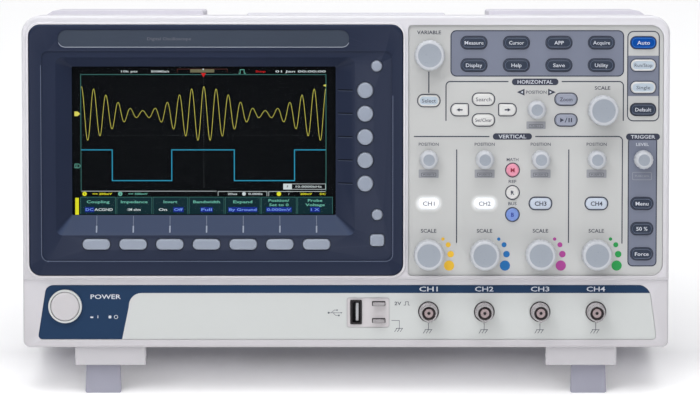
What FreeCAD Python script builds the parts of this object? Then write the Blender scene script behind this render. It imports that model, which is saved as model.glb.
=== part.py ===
import FreeCAD, Part
import Sketcher
import math
import os
from FreeCAD import Vector as V, Placement, Rotation

# Four-channel bench oscilloscope, built as an assembly of separate pieces.
#
# Case axes: X to the right seen from the front, Y from the front panel to the
# rear, Z up from the underside of the case.  Y = 0 is the front rim.  When
# every piece is made, each one gets the same Placement: the case leans back on
# its two swung-out front legs, so the soles of the legs and of the rear feet lie
# on Z = 0 of the row frame, whose origin is under the middle of the object.

os.makedirs("parts", exist_ok=True)
doc = FreeCAD.newDocument("Oscilloscope")
sheet = doc.addObject("Spreadsheet::Sheet", "Sheet")

SIZES = [
    # case
    ("case_width", 384.0), ("case_height", 197.3), ("case_depth", 114.0),
    ("frame_depth", 34.0), ("wall", 2.6), ("low_step", 2.0), ("low_step_top", 40.4),
    ("corner_top", 11.0), ("corner_bottom", 4.0),
    ("cover_width", 381.2), ("cover_base", 1.0), ("cover_roof", 196.0),
    ("cover_wall", 2.4), ("shoulder_top", 199.6),
    # display bezel
    ("bezel_mid_x", -76.95), ("bezel_mid_z", 117.53), ("bezel_w", 221.9), ("bezel_h", 149.05),
    ("bezel_round", 7.0), ("bezel_front", -0.8), ("bezel_back", 3.8), ("bezel_gap", 0.15),
    ("inset_depth", 0.6), ("screen_mid_x", -84.4), ("screen_mid_z", 122.9),
    ("screen_w", 156.5), ("screen_h", 88.1), ("screen_y", 6.6),
    # fascias
    ("fascia_front", 1.6), ("fascia_back", 3.6), ("flange_front", 2.8),
    ("strip_front", 2.6), ("strip_back", 5.6),
    # keys
    ("key_front", -0.2), ("key_back", 4.8), ("key_skirt", 3.95), ("key_gap", 0.3),
    ("soft_front", -1.5), ("soft_back", 4.95), ("soft_skirt", 4.15),
    ("key_w", 12.7), ("key_h", 6.7), ("fkey_w", 14.7), ("fkey_h", 6.7),
    ("menu_w", 16.4), ("menu_h", 6.4), ("menu_pitch", 21.78), ("menu_x", -148.05), ("menu_z", 61.7),
    ("side_r", 4.7), ("side_x", 11.5), ("side_z", 97.8), ("side_pitch", 13.83),
    ("round_r", 3.8), ("tiny_r", 3.25), ("copy_w", 8.6), ("copy_h", 7.1),
    ("key_travel", 0.7), ("plunger_tip", 6.0),
    # control panel columns and rows
    ("ch_x", 49.2), ("ch_pitch", 33.2), ("pos_z", 112.2), ("chkey_z", 85.9), ("scale_z", 55.7),
    ("fkey_x", 75.9), ("fkey_pitch", 25.15), ("fkey_z_hi", 181.3), ("fkey_z_lo", 168.0),
    ("auto_x", 176.2), ("mrb_x", 98.95),
    # knobs
    ("big_r", 9.0), ("big_front", -11.6), ("small_r", 5.6), ("small_front", -9.4),
    ("knob_base", 0.9), ("shaft_r", 3.0), ("shaft_end", 7.6), ("bush_r", 3.05),
    # board levels
    ("board_front", 8.0), ("board_back", 9.6),
    # sockets
    ("bnc_z", 21.3), ("bnc_r", 4.85), ("bnc_bore", 4.05), ("bnc_front", -10.2), ("bnc_end", 25.7),
    ("power_x", -167.0), ("power_z", 24.5), ("power_r", 8.5), ("power_ring", 10.0),
    ("usb_x", 6.1), ("usb_z", 21.05), ("tab_x", 19.6), ("tab_hi", 26.05), ("tab_lo", 15.9),
    ("inlet_x", -136.0), ("inlet_z", 32.0), ("usbb_x", -84.0), ("trig_x", -56.0),
    ("bay_floor", 110.0), ("fan_x", 92.0), ("fan_z", 104.0), ("fan_side", 60.0),
    # feet and legs
    ("block_in", 119.1), ("block_out", 161.5), ("block_drop", 11.0), ("block_front", 5.0), ("block_back", 40.0),
    ("leg_y", 12.0), ("leg_z", -5.5), ("leg_half", 2.0), ("leg_drop", 27.8), ("pin_r", 1.5), ("pin_hole_r", 1.55),
    ("sole_y", 100.0), ("sole_drop", 10.6),
    # handle
    ("handle_y", 50.0), ("handle_z", 191.5), ("arm_in", 65.0), ("arm_out", 82.0), ("arm_half", 4.0),
    ("grip_half", 61.0), ("handle_pin_r", 2.5), ("handle_hole_r", 2.55),
    # pose of the case in the row frame
    ("lean_deg", 11.059296), ("origin_y", -70.785), ("origin_z", 29.5856),
]
TILT = math.degrees(math.atan((27.8 - 10.6) / (100.0 - 12.0)))
for n, (alias, value) in enumerate(SIZES, start=1):
    sheet.set(f"A{n}", alias)
    sheet.set(f"B{n}", repr(float(value)))
    sheet.setAlias(f"B{n}", alias)
doc.recompute()
P = {alias: float(sheet.get(alias)) for alias, _ in SIZES}


def num(e):
    """The number that a size stands for: a plain number, or a sum over the sheet's cells."""
    return float(e) if isinstance(e, (int, float)) else read_sum(e)


def read_sum(words):
    text = words.replace("Sheet.", "").replace(" ", "")

    def total(i):
        v, i = product(i)
        while i < len(text) and text[i] in "+-":
            w, j = product(i + 1)
            v, i = (v + w if text[i] == "+" else v - w), j
        return v, i

    def product(i):
        v, i = atom(i)
        while i < len(text) and text[i] in "*/":
            w, j = atom(i + 1)
            v, i = (v * w if text[i] == "*" else v / w), j
        return v, i

    def atom(i):
        if text[i] == "-":
            v, i = atom(i + 1)
            return -v, i
        if text[i] == "(":
            v, i = total(i + 1)
            return v, i + 1
        j = i
        while j < len(text) and (text[j].isalnum() or text[j] in "._"):
            j += 1
        name = text[i:j]
        return (P[name] if name in P else float(name)), j

    return total(0)[0]


def expr(e):
    return e if isinstance(e, str) else None


NODES = []


class Piece:
    """One PartDesign body, made of sketches and features."""

    def __init__(self, label, keep=True):
        self.body = doc.addObject("PartDesign::Body", label)
        self.body.Label = label
        self.count = 0
        self.last = None
        if keep:
            NODES.append(self.body)

    def sketch(self, loops, level, plane="XZ_Plane"):
        """level is the distance along Y for XZ_Plane, Z for XY_Plane, X for YZ_Plane."""
        self.count += 1
        sk = self.body.newObject("Sketcher::SketchObject", f"{self.body.Label}_sk{self.count}")
        base = [f for f in self.body.Origin.OriginFeatures if f.Role == plane][0]
        sk.AttachmentSupport = [(base, "")]
        sk.MapMode = "FlatFace"
        sign = -1.0 if plane == "XZ_Plane" else 1.0
        sk.AttachmentOffset = Placement(V(0, 0, sign * num(level)), Rotation())
        if expr(level):
            sk.setExpression("AttachmentOffset.Base.z", f"-({level})" if sign < 0 else level)
        add_loops(sk, loops)
        return sk

    def grow(self, kind, sk, length, back=False, midplane=False):
        self.count += 1
        f = self.body.newObject(f"PartDesign::{kind}", f"{self.body.Label}_{kind.lower()}{self.count}")
        before = self.last.Shape.Volume if self.last else 0.0
        f.Profile = sk
        f.Length = num(length)
        if expr(length):
            f.setExpression("Length", length)
        f.Reversed = back
        if midplane:
            if hasattr(f, "SideType"):
                f.SideType = "Symmetric"
            else:
                f.Midplane = True
        doc.recompute()
        now = f.Shape.Volume
        if (kind == "Pad" and now <= before) or (kind == "Pocket" and now >= before):
            raise RuntimeError(f"{f.Name}: the {kind} changed nothing ({before:.1f} -> {now:.1f})")
        self.last = f
        return f

    def pad(self, loops, front, back, plane="XZ_Plane"):
        """Material between two levels.  For XZ_Plane the sketch lies at the back level and grows forward."""
        for more in batches(loops)[:-1]:
            self.pad(more, front, back, plane)
        loops = batches(loops)[-1]
        if plane == "XZ_Plane":
            sk = self.sketch(loops, back, plane)
            length = join(back, front)
            return self.grow("Pad", sk, length)
        sk = self.sketch(loops, front, plane)
        return self.grow("Pad", sk, join(back, front))

    def pocket(self, loops, front, back, plane="XZ_Plane"):
        """Cuts between two levels; for XZ_Plane it runs from the front level backwards."""
        for more in batches(loops)[:-1]:
            self.pocket(more, front, back, plane)
        loops = batches(loops)[-1]
        if plane == "XZ_Plane":
            sk = self.sketch(loops, front, plane)
            return self.grow("Pocket", sk, join(back, front))
        sk = self.sketch(loops, back, plane)
        return self.grow("Pocket", sk, join(back, front))

    def slice_both(self, loops, width, plane):
        sk = self.sketch(loops, 0.0, plane)
        return self.grow("Pocket", sk, width, midplane=True)

    def round_edges(self, want, radius, kind="Fillet"):
        shape = self.last.Shape
        names = [f"Edge{i + 1}" for i, e in enumerate(shape.Edges) if want(e)]
        if not names:
            raise RuntimeError(f"{self.body.Label}: no edge to round")
        self.count += 1
        f = self.body.newObject(f"PartDesign::{kind}", f"{self.body.Label}_{kind.lower()}{self.count}")
        f.Base = (self.last, names)
        if kind == "Fillet":
            f.Radius = radius
        else:
            f.Size = radius
        doc.recompute()
        bad = "Invalid" in f.State or "Error" in f.State or f.Shape.isNull() or not f.Shape.isValid()
        if bad:
            self.body.removeObject(f)
            doc.removeObject(f.Name)
            self.body.Tip = self.last
            doc.recompute()
            print("note: an edge rounding was left out on", self.body.Label, radius)
            return None
        self.last = f
        return f


def batches(loops, size=7):
    """A long row of loops is shared out over several small sketches."""
    if len(loops) <= size or all(q[0] != "rr" for q in loops):
        return [loops]
    return [loops[i:i + size] for i in range(0, len(loops), size)]


def join(a, b):
    """The distance from b to a."""
    if isinstance(a, str) or isinstance(b, str):
        return f"({a}) - ({b})"
    return float(a) - float(b)


def at_y(y, tol=1e-4):
    return lambda e: all(abs(v.Point.y - y) < tol for v in e.Vertexes)


def loop_parts(tag, loop, base):
    """Geometry, constraints and sizes of one closed loop whose first element gets the index base."""
    kind = loop[0]
    C = Sketcher.Constraint
    if kind == "c":
        _, cx, cz, r = loop
        geo = [Part.Circle(V(num(cx), num(cz), 0), V(0, 0, 1), num(r))]
        dims = [("r", r, C("Radius", base, num(r))), ("x", cx, C("DistanceX", -1, 1, base, 3, num(cx))),
                ("z", cz, C("DistanceY", -1, 1, base, 3, num(cz)))]
        return geo, [], dims
    if kind == "rr":
        _, cx, cz, w, h, r = loop
        X, Z, W, H, R = num(cx), num(cz), num(w), num(h), num(r)
        x0, x1, z0, z1 = X - W / 2, X + W / 2, Z - H / 2, Z + H / 2
        hp = math.pi / 2
        k = V(0, 0, 1)
        geo = [
            Part.LineSegment(V(x0 + R, z0, 0), V(x1 - R, z0, 0)),
            Part.ArcOfCircle(Part.Circle(V(x1 - R, z0 + R, 0), k, R), -hp, 0),
            Part.LineSegment(V(x1, z0 + R, 0), V(x1, z1 - R, 0)),
            Part.ArcOfCircle(Part.Circle(V(x1 - R, z1 - R, 0), k, R), 0, hp),
            Part.LineSegment(V(x1 - R, z1, 0), V(x0 + R, z1, 0)),
            Part.ArcOfCircle(Part.Circle(V(x0 + R, z1 - R, 0), k, R), hp, 2 * hp),
            Part.LineSegment(V(x0, z1 - R, 0), V(x0, z0 + R, 0)),
            Part.ArcOfCircle(Part.Circle(V(x0 + R, z0 + R, 0), k, R), 2 * hp, 3 * hp),
        ]
        a = base
        ties = [C("Tangent", a + i, 2, a + (i + 1) % 8, 1) for i in range(8)] + [
            C("Horizontal", a), C("Vertical", a + 2), C("Horizontal", a + 4), C("Vertical", a + 6),
            C("Equal", a + 1, a + 3), C("Equal", a + 1, a + 5), C("Equal", a + 1, a + 7)]
        ex = f"{cx} - ({w}) / 2" if isinstance(cx, str) or isinstance(w, str) else x0
        ez = f"{cz} - ({h}) / 2" if isinstance(cz, str) or isinstance(h, str) else z0
        dims = [("r", r, C("Radius", a + 1, R)), ("w", w, C("DistanceX", a + 6, 1, a + 2, 1, W)),
                ("h", h, C("DistanceY", a, 1, a + 4, 2, H)), ("x", ex, C("DistanceX", -1, 1, a + 6, 1, x0)),
                ("z", ez, C("DistanceY", -1, 1, a, 1, z0))]
        return geo, ties, dims
    # a polygon whose corners carry a radius: ("poly", [(x, z, r), ...])
    pts = [(num(x), num(z), num(r)) for x, z, r in loop[1]]
    n = len(pts)
    geo, ends = [], []
    for i in range(n):
        p = V(pts[i][0], pts[i][1], 0)
        a = V(pts[i - 1][0], pts[i - 1][1], 0)
        b = V(pts[(i + 1) % n][0], pts[(i + 1) % n][1], 0)
        r = pts[i][2]
        if r <= 0:
            ends.append((p, p, None))
            continue
        u, w = (a - p).normalize(), (b - p).normalize()
        half = u.getAngle(w) / 2
        t = r / math.tan(half)
        s, e = p + u * t, p + w * t
        inward = (u + w).normalize()
        m = p + inward * (r / math.sin(half) - r)
        ends.append((s, e, m))
    for i in range(n):
        s, e, m = ends[i]
        if m is not None:
            geo.append(Part.Arc(s, m, e))
        nxt = ends[(i + 1) % n][0]
        if (nxt - e).Length > 1e-6:
            geo.append(Part.LineSegment(e, nxt))
    return geo, [C("Block", base + i) for i in range(len(geo))], []


def add_loops(sk, loops):
    geo, ties, dims = [], [], []
    for i, loop in enumerate(loops):
        g, t, d = loop_parts(f"g{i}", loop, len(geo))
        geo += g
        ties += t
        dims += [(f"g{i}_{name}", e, c) for name, e, c in d]
    sk.addGeometry(geo, False)
    sk.addConstraint(ties + [c for _, _, c in dims])
    for k, (name, e, _) in enumerate(dims, start=len(ties)):
        sk.renameConstraint(k, name)
        if isinstance(e, str):
            sk.setExpression(f"Constraints.{name}", e)


def box(name, x, y, z, lx, ly, lz):
    """A Part::Box with its near lower-left corner at x, y, z; every size is bound."""
    b = doc.addObject("Part::Box", name)
    for prop, e in (("Length", lx), ("Width", ly), ("Height", lz)):
        setattr(b, prop, num(e))
        if expr(e):
            b.setExpression(prop, e)
    b.Placement = Placement(V(num(x), num(y), num(z)), Rotation())
    for axis, e in (("x", x), ("y", y), ("z", z)):
        if expr(e):
            b.setExpression(f"Placement.Base.{axis}", e)
    return b


TURN = {"y": Rotation(V(1, 0, 0), -90), "x": Rotation(V(0, 1, 0), 90), "z": Rotation()}


def rod(name, axis, x, y, z, r, length):
    """A Part::Cylinder along +axis from x, y, z."""
    c = doc.addObject("Part::Cylinder", name)
    c.Radius, c.Height = num(r), num(length)
    for prop, e in (("Radius", r), ("Height", length)):
        if expr(e):
            c.setExpression(prop, e)
    c.Placement = Placement(V(num(x), num(y), num(z)), TURN[axis])
    for a, e in (("x", x), ("y", y), ("z", z)):
        if expr(e):
            c.setExpression(f"Placement.Base.{a}", e)
    return c


def prism(name, x, y, z, circum, length, sides=6):
    c = doc.addObject("Part::Prism", name)
    c.Polygon, c.Circumradius, c.Height = sides, num(circum), num(length)
    c.Placement = Placement(V(num(x), num(y), num(z)), TURN["y"])
    for a, e in (("x", x), ("y", y), ("z", z)):
        if expr(e):
            c.setExpression(f"Placement.Base.{a}", e)
    return c


def fuse(name, *shapes):
    if len(shapes) == 1:
        return shapes[0]
    f = doc.addObject("Part::MultiFuse", name)
    f.Shapes = list(shapes)
    return f


def cut(name, base, *tools):
    c = doc.addObject("Part::Cut", name)
    c.Base = base
    c.Tool = fuse(name + "_tools", *tools)
    return c


def group(label, *shapes):
    g = doc.addObject("Part::Compound", label)
    g.Links = list(shapes)
    return keep(g, label)


def keep(obj, label):
    obj.Label = label
    NODES.append(obj)
    return obj


S = "Sheet."
CH = [f"Sheet.ch_x + {i} * Sheet.ch_pitch" for i in range(4)]
CHN = [num(c) for c in CH]

# ---------------------------------------------------------------- key and knob places (x, z)
MENU_KEYS = [(f"Sheet.menu_x + {i} * Sheet.menu_pitch", "Sheet.menu_z") for i in range(7)]
SIDE_KEYS = [("Sheet.side_x", f"Sheet.side_z + {i} * Sheet.side_pitch") for i in range(5)]
FKEYS = [(f"Sheet.fkey_x + {i} * Sheet.fkey_pitch", z) for z in ("Sheet.fkey_z_hi", "Sheet.fkey_z_lo") for i in range(4)]
OPTION, MENU_OFF, COPY = (18.25, 167.5), (18.6, 79.3), (18.6, 64.1)
AUTO = {"autoset_key": 181.3, "run_stop_key": 168.0, "single_key": 154.8, "default_key": 141.7}
SELECT = (49.2, 147.0)
SEARCH = [(81.6, 147.8), (81.6, 135.5)]
ARROWS = [(67.5, 141.6), (95.8, 141.6)]
ZOOM = [(130.5, 147.8), (130.5, 135.5)]
MRB = [("Sheet.mrb_x", 105.8), ("Sheet.mrb_x", 92.4), ("Sheet.mrb_x", 79.3)]
TRIG_KEYS = [(175.8, 85.9), (175.8, 70.9), (175.8, 55.9)]
BIG_KNOBS = {"variable_knob": (49.5, 174.0), "horizontal_scale_knob": (152.2, 141.4)}
SMALL_KNOBS = {"horizontal_position_knob": (113.0, 141.8), "trigger_level_knob": (176.3, "Sheet.pos_z")}
for i in range(4):
    BIG_KNOBS[f"ch{i + 1}_scale_knob"] = (CH[i], "Sheet.scale_z")
    SMALL_KNOBS[f"ch{i + 1}_position_knob"] = (CH[i], "Sheet.pos_z")

arrow_left = lambda x, z, g: ("poly", [(x - 4.95 - g, z - 3.35 - g, 3.0), (x + 4.95 + g, z - 3.35 - g, 0.9),
                                       (x + 4.95 + g, z + 3.35 + g, 0.9), (x - 4.95 - g, z + 3.35 + g, 3.0)])
arrow_right = lambda x, z, g: ("poly", [(x - 4.95 - g, z - 3.35 - g, 0.9), (x + 4.95 + g, z - 3.35 - g, 3.0),
                                        (x + 4.95 + g, z + 3.35 + g, 3.0), (x - 4.95 - g, z + 3.35 + g, 0.9)])


def pill(x, z, w, h, g=0.0, r=None):
    """A key outline; g makes it larger all round."""
    W = f"{w} + {2 * g}" if isinstance(w, str) else w + 2 * g
    H = f"{h} + {2 * g}" if isinstance(h, str) else h + 2 * g
    return ("rr", x, z, W, H, (r if r else num(h) * 0.46) + g)


# ================================================================ front frame
# Moulded front shell: a deep rim whose lower strip is set back, with an opening
# for the dark display bezel, one for the control fascia and one for the strip.
f = Piece("front_frame")
hw, H = P["case_width"] / 2, P["case_height"]
outline = lambda d: ("poly", [(-hw + d, d, max(P["corner_bottom"] - d, 1.4)), (hw - d, d, max(P["corner_bottom"] - d, 1.4)),
                              (hw - d, H - d, P["corner_top"] - d), (-hw + d, H - d, P["corner_top"] - d)])
f.pad([outline(0)], 0.0, "Sheet.frame_depth")
f.pocket([("poly", [(-hw - 5, -5, 0), (hw + 5, -5, 0), (hw + 5, P["low_step_top"], 0), (-hw - 5, P["low_step_top"], 0)])],
         0.0, "Sheet.low_step")
f.round_edges(lambda e: at_y(0.0)(e), 1.9)
f.round_edges(lambda e: at_y(2.0)(e) and (e.BoundBox.ZMax < 40.3) and e.BoundBox.ZMin < 30, 1.2)
fw = P["wall"]
# the raised bead round the display opening
bead = f.pad([("rr", "Sheet.bezel_mid_x", "Sheet.bezel_mid_z", "Sheet.bezel_w + 3.4", "Sheet.bezel_h + 3.4", "Sheet.bezel_round + 1.7")],
             -0.9, 1.0)
f.round_edges(lambda e: at_y(-0.9)(e), 0.75)
# hollow from the rear
sk = f.sketch([outline(fw)], "Sheet.frame_depth")
f.grow("Pocket", sk, P["frame_depth"] - 4.6, back=True)
sk = f.sketch([("poly", [(-hw + fw, 41.4, 0.8), (hw - fw, 41.4, 0.8), (hw - fw, H - fw, P["corner_top"] - fw),
                         (-hw + fw, H - fw, P["corner_top"] - fw)])], 5.0)
f.grow("Pocket", sk, 5.0 - fw, back=True)
f.pocket([("rr", "Sheet.bezel_mid_x", "Sheet.bezel_mid_z", "Sheet.bezel_w + 0.3", "Sheet.bezel_h + 0.3", "Sheet.bezel_round + 0.15")],
         -1.5, 6.0)
fascia_outline = lambda g: ("poly", [(36.9 + g, 42.9 + g, 2.2 - g), (188.3 - g, 42.9 + g, 7.0 - g),
                                     (188.3 - g, 191.8 - g, 8.0 - g), (36.9 + g, 191.8 - g, 2.2 - g)])
f.pocket([fascia_outline(0)], -1.5, 6.0)
strip_outline = lambda g: ("poly", [(-183.4 + g, 4.6 + g, 2.5 - g), (185.1 - g, 4.6 + g, 2.5 - g),
                                    (180.6 - g, 37.4 - g, 8.0 - g), (-178.2 + g, 37.4 - g, 5.0 - g)])
f.pocket([strip_outline(0)], 0.0, 6.0)
# four posts that take the case screws
POSTS = [(-184.0, 12.0), (184.0, 12.0), (-183.2, 184.6), (183.2, 184.6)]
f.pad([("c", x, z, 5.7) for x, z in POSTS], 12.0, "Sheet.frame_depth")
f.pocket([("c", x, z, 1.55) for x, z in POSTS], 15.0, 36.0)

# ================================================================ display bezel
d = Piece("display_bezel")
d.pad([("rr", "Sheet.bezel_mid_x", "Sheet.bezel_mid_z", "Sheet.bezel_w", "Sheet.bezel_h", "Sheet.bezel_round")],
      "Sheet.bezel_front", "Sheet.bezel_back")
d.round_edges(lambda e: at_y(P["bezel_front"])(e), 0.9)
d.pad([("rr", "Sheet.bezel_mid_x", "Sheet.bezel_mid_z", "Sheet.bezel_w + 2.0", "Sheet.bezel_h + 2.0", "Sheet.bezel_round + 1")],
      "Sheet.flange_front", "Sheet.bezel_back")
d.pad([("rr", -84.0, 121.4, 171.0, 101.6, 2.0)], 3.0, "Sheet.screen_y")
# shallow inset panel, and the long blank name recess above it
d.pocket([("rr", -76.5, 114.1, 207.6, 124.4, 4.0)], "Sheet.bezel_front", "Sheet.bezel_front + Sheet.inset_depth")
d.pocket([("rr", -84.1, 183.65, 172.8, 10.9, 5.0)], "Sheet.bezel_front", "Sheet.bezel_front + 0.5")
# the funnel down to the screen: a loft between a wide and a narrow outline
wide = d.sketch([("rr", -83.25, 119.85, 177.5, 105.7, 4.0)], P["bezel_front"] + P["inset_depth"] - 0.01)
slim = d.sketch([("rr", "Sheet.screen_mid_x", "Sheet.screen_mid_z", "Sheet.screen_w", "Sheet.screen_h", 0.8)], P["screen_y"] + 0.1)
before = d.last.Shape.Volume
loft = d.body.newObject("PartDesign::SubtractiveLoft", "display_bezel_funnel")
loft.Profile = wide
loft.Sections = [slim]
loft.Ruled = True
doc.recompute()
if loft.Shape.Volume >= before:
    raise RuntimeError("the funnel cut nothing")
d.last = loft
d.pocket([pill(x, z, "Sheet.menu_w", "Sheet.menu_h", 0.35) for x, z in MENU_KEYS]
         + [("c", x, z, "Sheet.side_r + 0.35") for x, z in SIDE_KEYS]
         + [("c", OPTION[0], OPTION[1], "Sheet.tiny_r + 0.3"), ("c", MENU_OFF[0], MENU_OFF[1], "Sheet.tiny_r + 0.3"),
            pill(COPY[0], COPY[1], "Sheet.copy_w", "Sheet.copy_h", 0.35, 2.3)], -2.0, 8.0)

# ================================================================ window and display module
w = Piece("display_window")
w.pad([("rr", "Sheet.screen_mid_x", "Sheet.screen_mid_z", "Sheet.screen_w + 5", "Sheet.screen_h + 5", 1.5)], 6.7, 8.2)
m = Piece("lcd_module")
m.pad([("rr", "Sheet.screen_mid_x", "Sheet.screen_mid_z", 166.0, 98.0, 1.0)], 8.4, 15.0)
m.pocket([("rr", "Sheet.screen_mid_x", "Sheet.screen_mid_z", 157.4, 89.0, 0.6)], 8.4, 8.8)
m.pad([("rr", -120.0, 112.0, 46.0, 34.0, 1.0)], 14.5, 16.4)

# ================================================================ control fascia
c = Piece("control_fascia")
c.pad([fascia_outline(0.15)], "Sheet.fascia_front", "Sheet.fascia_back")
c.pad([fascia_outline(-0.75)], "Sheet.flange_front", "Sheet.fascia_back")
holes = [pill(x, z, "Sheet.fkey_w", "Sheet.fkey_h", 0.3) for x, z in FKEYS]
holes += [pill("Sheet.auto_x", z, "Sheet.fkey_w", "Sheet.fkey_h", 0.3) for z in AUTO.values()]
holes += [pill(x, z, "Sheet.key_w", "Sheet.key_h", 0.3) for x, z in [SELECT] + SEARCH + ZOOM + TRIG_KEYS]
holes += [pill(x, "Sheet.chkey_z", "Sheet.key_w", "Sheet.key_h", 0.3) for x in CH]
holes += [("c", x, z, "Sheet.round_r + 0.3") for x, z in MRB]
holes += [arrow_left(*ARROWS[0], 0.3), arrow_right(*ARROWS[1], 0.3)]
holes += [("c", x, z, 4.2) for x, z in list(BIG_KNOBS.values()) + list(SMALL_KNOBS.values())]
c.pocket(holes, 0.0, 8.0)

# ================================================================ input strip
s = Piece("input_fascia")
s.pad([strip_outline(0.15)], "Sheet.strip_front", "Sheet.strip_back")
s.pad([strip_outline(-1.1)], 4.8, "Sheet.strip_back")
s.pad([("c", "Sheet.power_x", "Sheet.power_z", "Sheet.power_ring")], 0.5, 3.0)
s.round_edges(lambda e: at_y(0.5)(e), 0.5)
s.pocket([("rr", 13.3, 20.7, 25.8, 18.2, 1.6)], "Sheet.strip_front", "Sheet.strip_front + 0.5")
s.pocket([("c", "Sheet.power_x", "Sheet.power_z", "Sheet.power_r + 0.3"),
          ("rr", "Sheet.usb_x", "Sheet.usb_z", 6.2, 13.8, 0.5),
          ("rr", "Sheet.tab_x", "Sheet.tab_hi", 7.4, 2.3, 0.4), ("rr", "Sheet.tab_x", "Sheet.tab_lo", 7.4, 2.3, 0.4)]
         + [("c", x, "Sheet.bnc_z", "Sheet.bnc_r + 0.15") for x in CH], 0.0, 8.0)

# ================================================================ rear cover
r = Piece("rear_cover")
cw, cb, ct, cwall, cd = P["cover_width"] / 2, P["cover_base"], P["cover_roof"], P["cover_wall"], P["case_depth"]
cover = lambda q: ("poly", [(-cw + q, cb + q, 3.6 - q * 0.6), (cw - q, cb + q, 3.6 - q * 0.6),
                            (cw - q, ct - q, 10.0 - q), (-cw + q, ct - q, 10.0 - q)])
r.pad([cover(0)], "Sheet.frame_depth + 0.2", "Sheet.case_depth")
r.round_edges(lambda e: at_y(cd)(e), 6.0)
top = P["shoulder_top"]
# two raised shoulders with the handle recess between them
r.pad([("poly", [(-186.6, 193.0, 0), (-176.0, top, 3.0), (-86.0, top, 1.6), (-86.0, 190.0, 0)]),
       ("poly", [(186.6, 193.0, 0), (86.0, 190.0, 0), (86.0, top, 1.6), (176.0, top, 3.0)])], 38.0, 107.0)
r.round_edges(lambda e: (at_y(38.0)(e) or at_y(107.0)(e)) and e.BoundBox.ZMin > ct + 2.0 and e.BoundBox.XLength > 60, 1.2)
r.pocket([cover(cwall)], "Sheet.frame_depth + 0.1", P["case_depth"] - cwall)
r.pad([("rr", 0.0, 189.0, 174.8, 10.8, 0.6)], 37.0, 112.0)
r.pad([("rr", 0.0, 179.4, 130.0, 11.6, 0.6)], 79.6, 112.0)
r.pocket([("rr", 0.0, 196.0, 170.0, 20.0, 0.8)], 40.0, 108.0)
r.pocket([("rr", 0.0, 183.0, 125.2, 14.0, 1.0)], 82.0, 108.0)
# connector bay in the rear wall
r.pad([("rr", -95.0, 31.0, 124.0, 40.0, 2.0)], 107.6, 112.0)
r.pocket([("rr", -95.0, 31.0, 119.2, 35.2, 2.5)], "Sheet.bay_floor", 116.0)
r.pocket([("rr", "Sheet.inlet_x", "Sheet.inlet_z", 27.6, 20.4, 1.5), ("rr", "Sheet.usbb_x", "Sheet.inlet_z", 12.6, 11.4, 0.5),
          ("c", "Sheet.trig_x", "Sheet.inlet_z", "Sheet.bnc_r + 0.15"), ("rr", -108.0, 44.0, 7.0, 3.0, 0.8)], 100.0, 118.0)
# posts for the case screws, open to the rear, with a through hole at the front end
r.pad([("c", x, z, 5.6) for x, z in POSTS], "Sheet.frame_depth + 0.2", 112.0)
sk = r.sketch([("c", x, z, 3.7) for x, z in POSTS], 118.0)
r.grow("Pocket", sk, 118.0 - 42.0, back=True)
r.pocket([("c", x, z, 1.7) for x, z in POSTS], 30.0, 60.0)
# ventilation: slots in both sides, a grille over the fan, slots underneath
r.slice_both([("rr", 50.0 + 6.0 * i, 104.0, 2.6, 86.0, 1.2) for i in range(9)], 420.0, "YZ_Plane")
fx, fz = P["fan_x"], P["fan_z"]
rows = []
for i in range(-5, 6):
    half = math.sqrt(max(28.0 ** 2 - (i * 5.0) ** 2, 60.0))
    for side in (-1, 1):
        rows.append(("rr", fx + side * (half / 2 + 0.9), fz + i * 5.0, half - 1.0, 2.8, 1.3))
r.pocket(rows, 111.0, 118.0)
r.pocket([("rr", -60.0 + 9.0 * i, 70.0, 3.0, 34.0, 1.4) for i in range(14)], -2.0, 4.5, "XY_Plane")
# holes for the handle pins in the recess walls
r.slice_both([("c", "Sheet.handle_y", "Sheet.handle_z", "Sheet.handle_hole_r")], 182.0, "YZ_Plane")

# ================================================================ feet, legs and pins
def yz_block(label_, x0, x1, pts):
    """A body with a side profile, grown from x0 to x1."""
    return [("poly", [(y, z, q) for y, z, q in pts])], x0, x1


fb = Piece("foot_blocks")
bi, bo, bd = P["block_in"], P["block_out"], P["block_drop"]
mid, wid = (bi + bo) / 2, bo - bi
fb.pad([("poly", [(k * bi, 5.0, 1.5), (k * bo, 5.0, 1.5), (k * (bo - 0.6), 40.0, 1.5), (k * (bi + 2.4), 40.0, 1.5)][::k]) for k in (1, -1)],
       -bd, 0.0, "XY_Plane")
fb.round_edges(lambda e: all(abs(v.Point.z + bd) < 1e-4 for v in e.Vertexes), 0.8)
sk = fb.sketch([("rr", 145.0, 23.55, 22.9, 29.9, 0.8), ("rr", -145.0, 23.55, 22.9, 29.9, 0.8)], -bd, "XY_Plane")
fb.grow("Pocket", sk, bd - 1.5, back=True)
fb.slice_both([("c", "Sheet.leg_y", "Sheet.leg_z", "Sheet.pin_hole_r")], 318.4, "YZ_Plane")
# the pins do not need the inner half of the span: it is closed again
fb_fill = fb.pad([("c", "Sheet.leg_y", "Sheet.leg_z", "Sheet.pin_hole_r")], 119.3, 127.8, "YZ_Plane")
fb.pad([("c", "Sheet.leg_y", "Sheet.leg_z", "Sheet.pin_hole_r")], -127.8, -119.3, "YZ_Plane")

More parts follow.
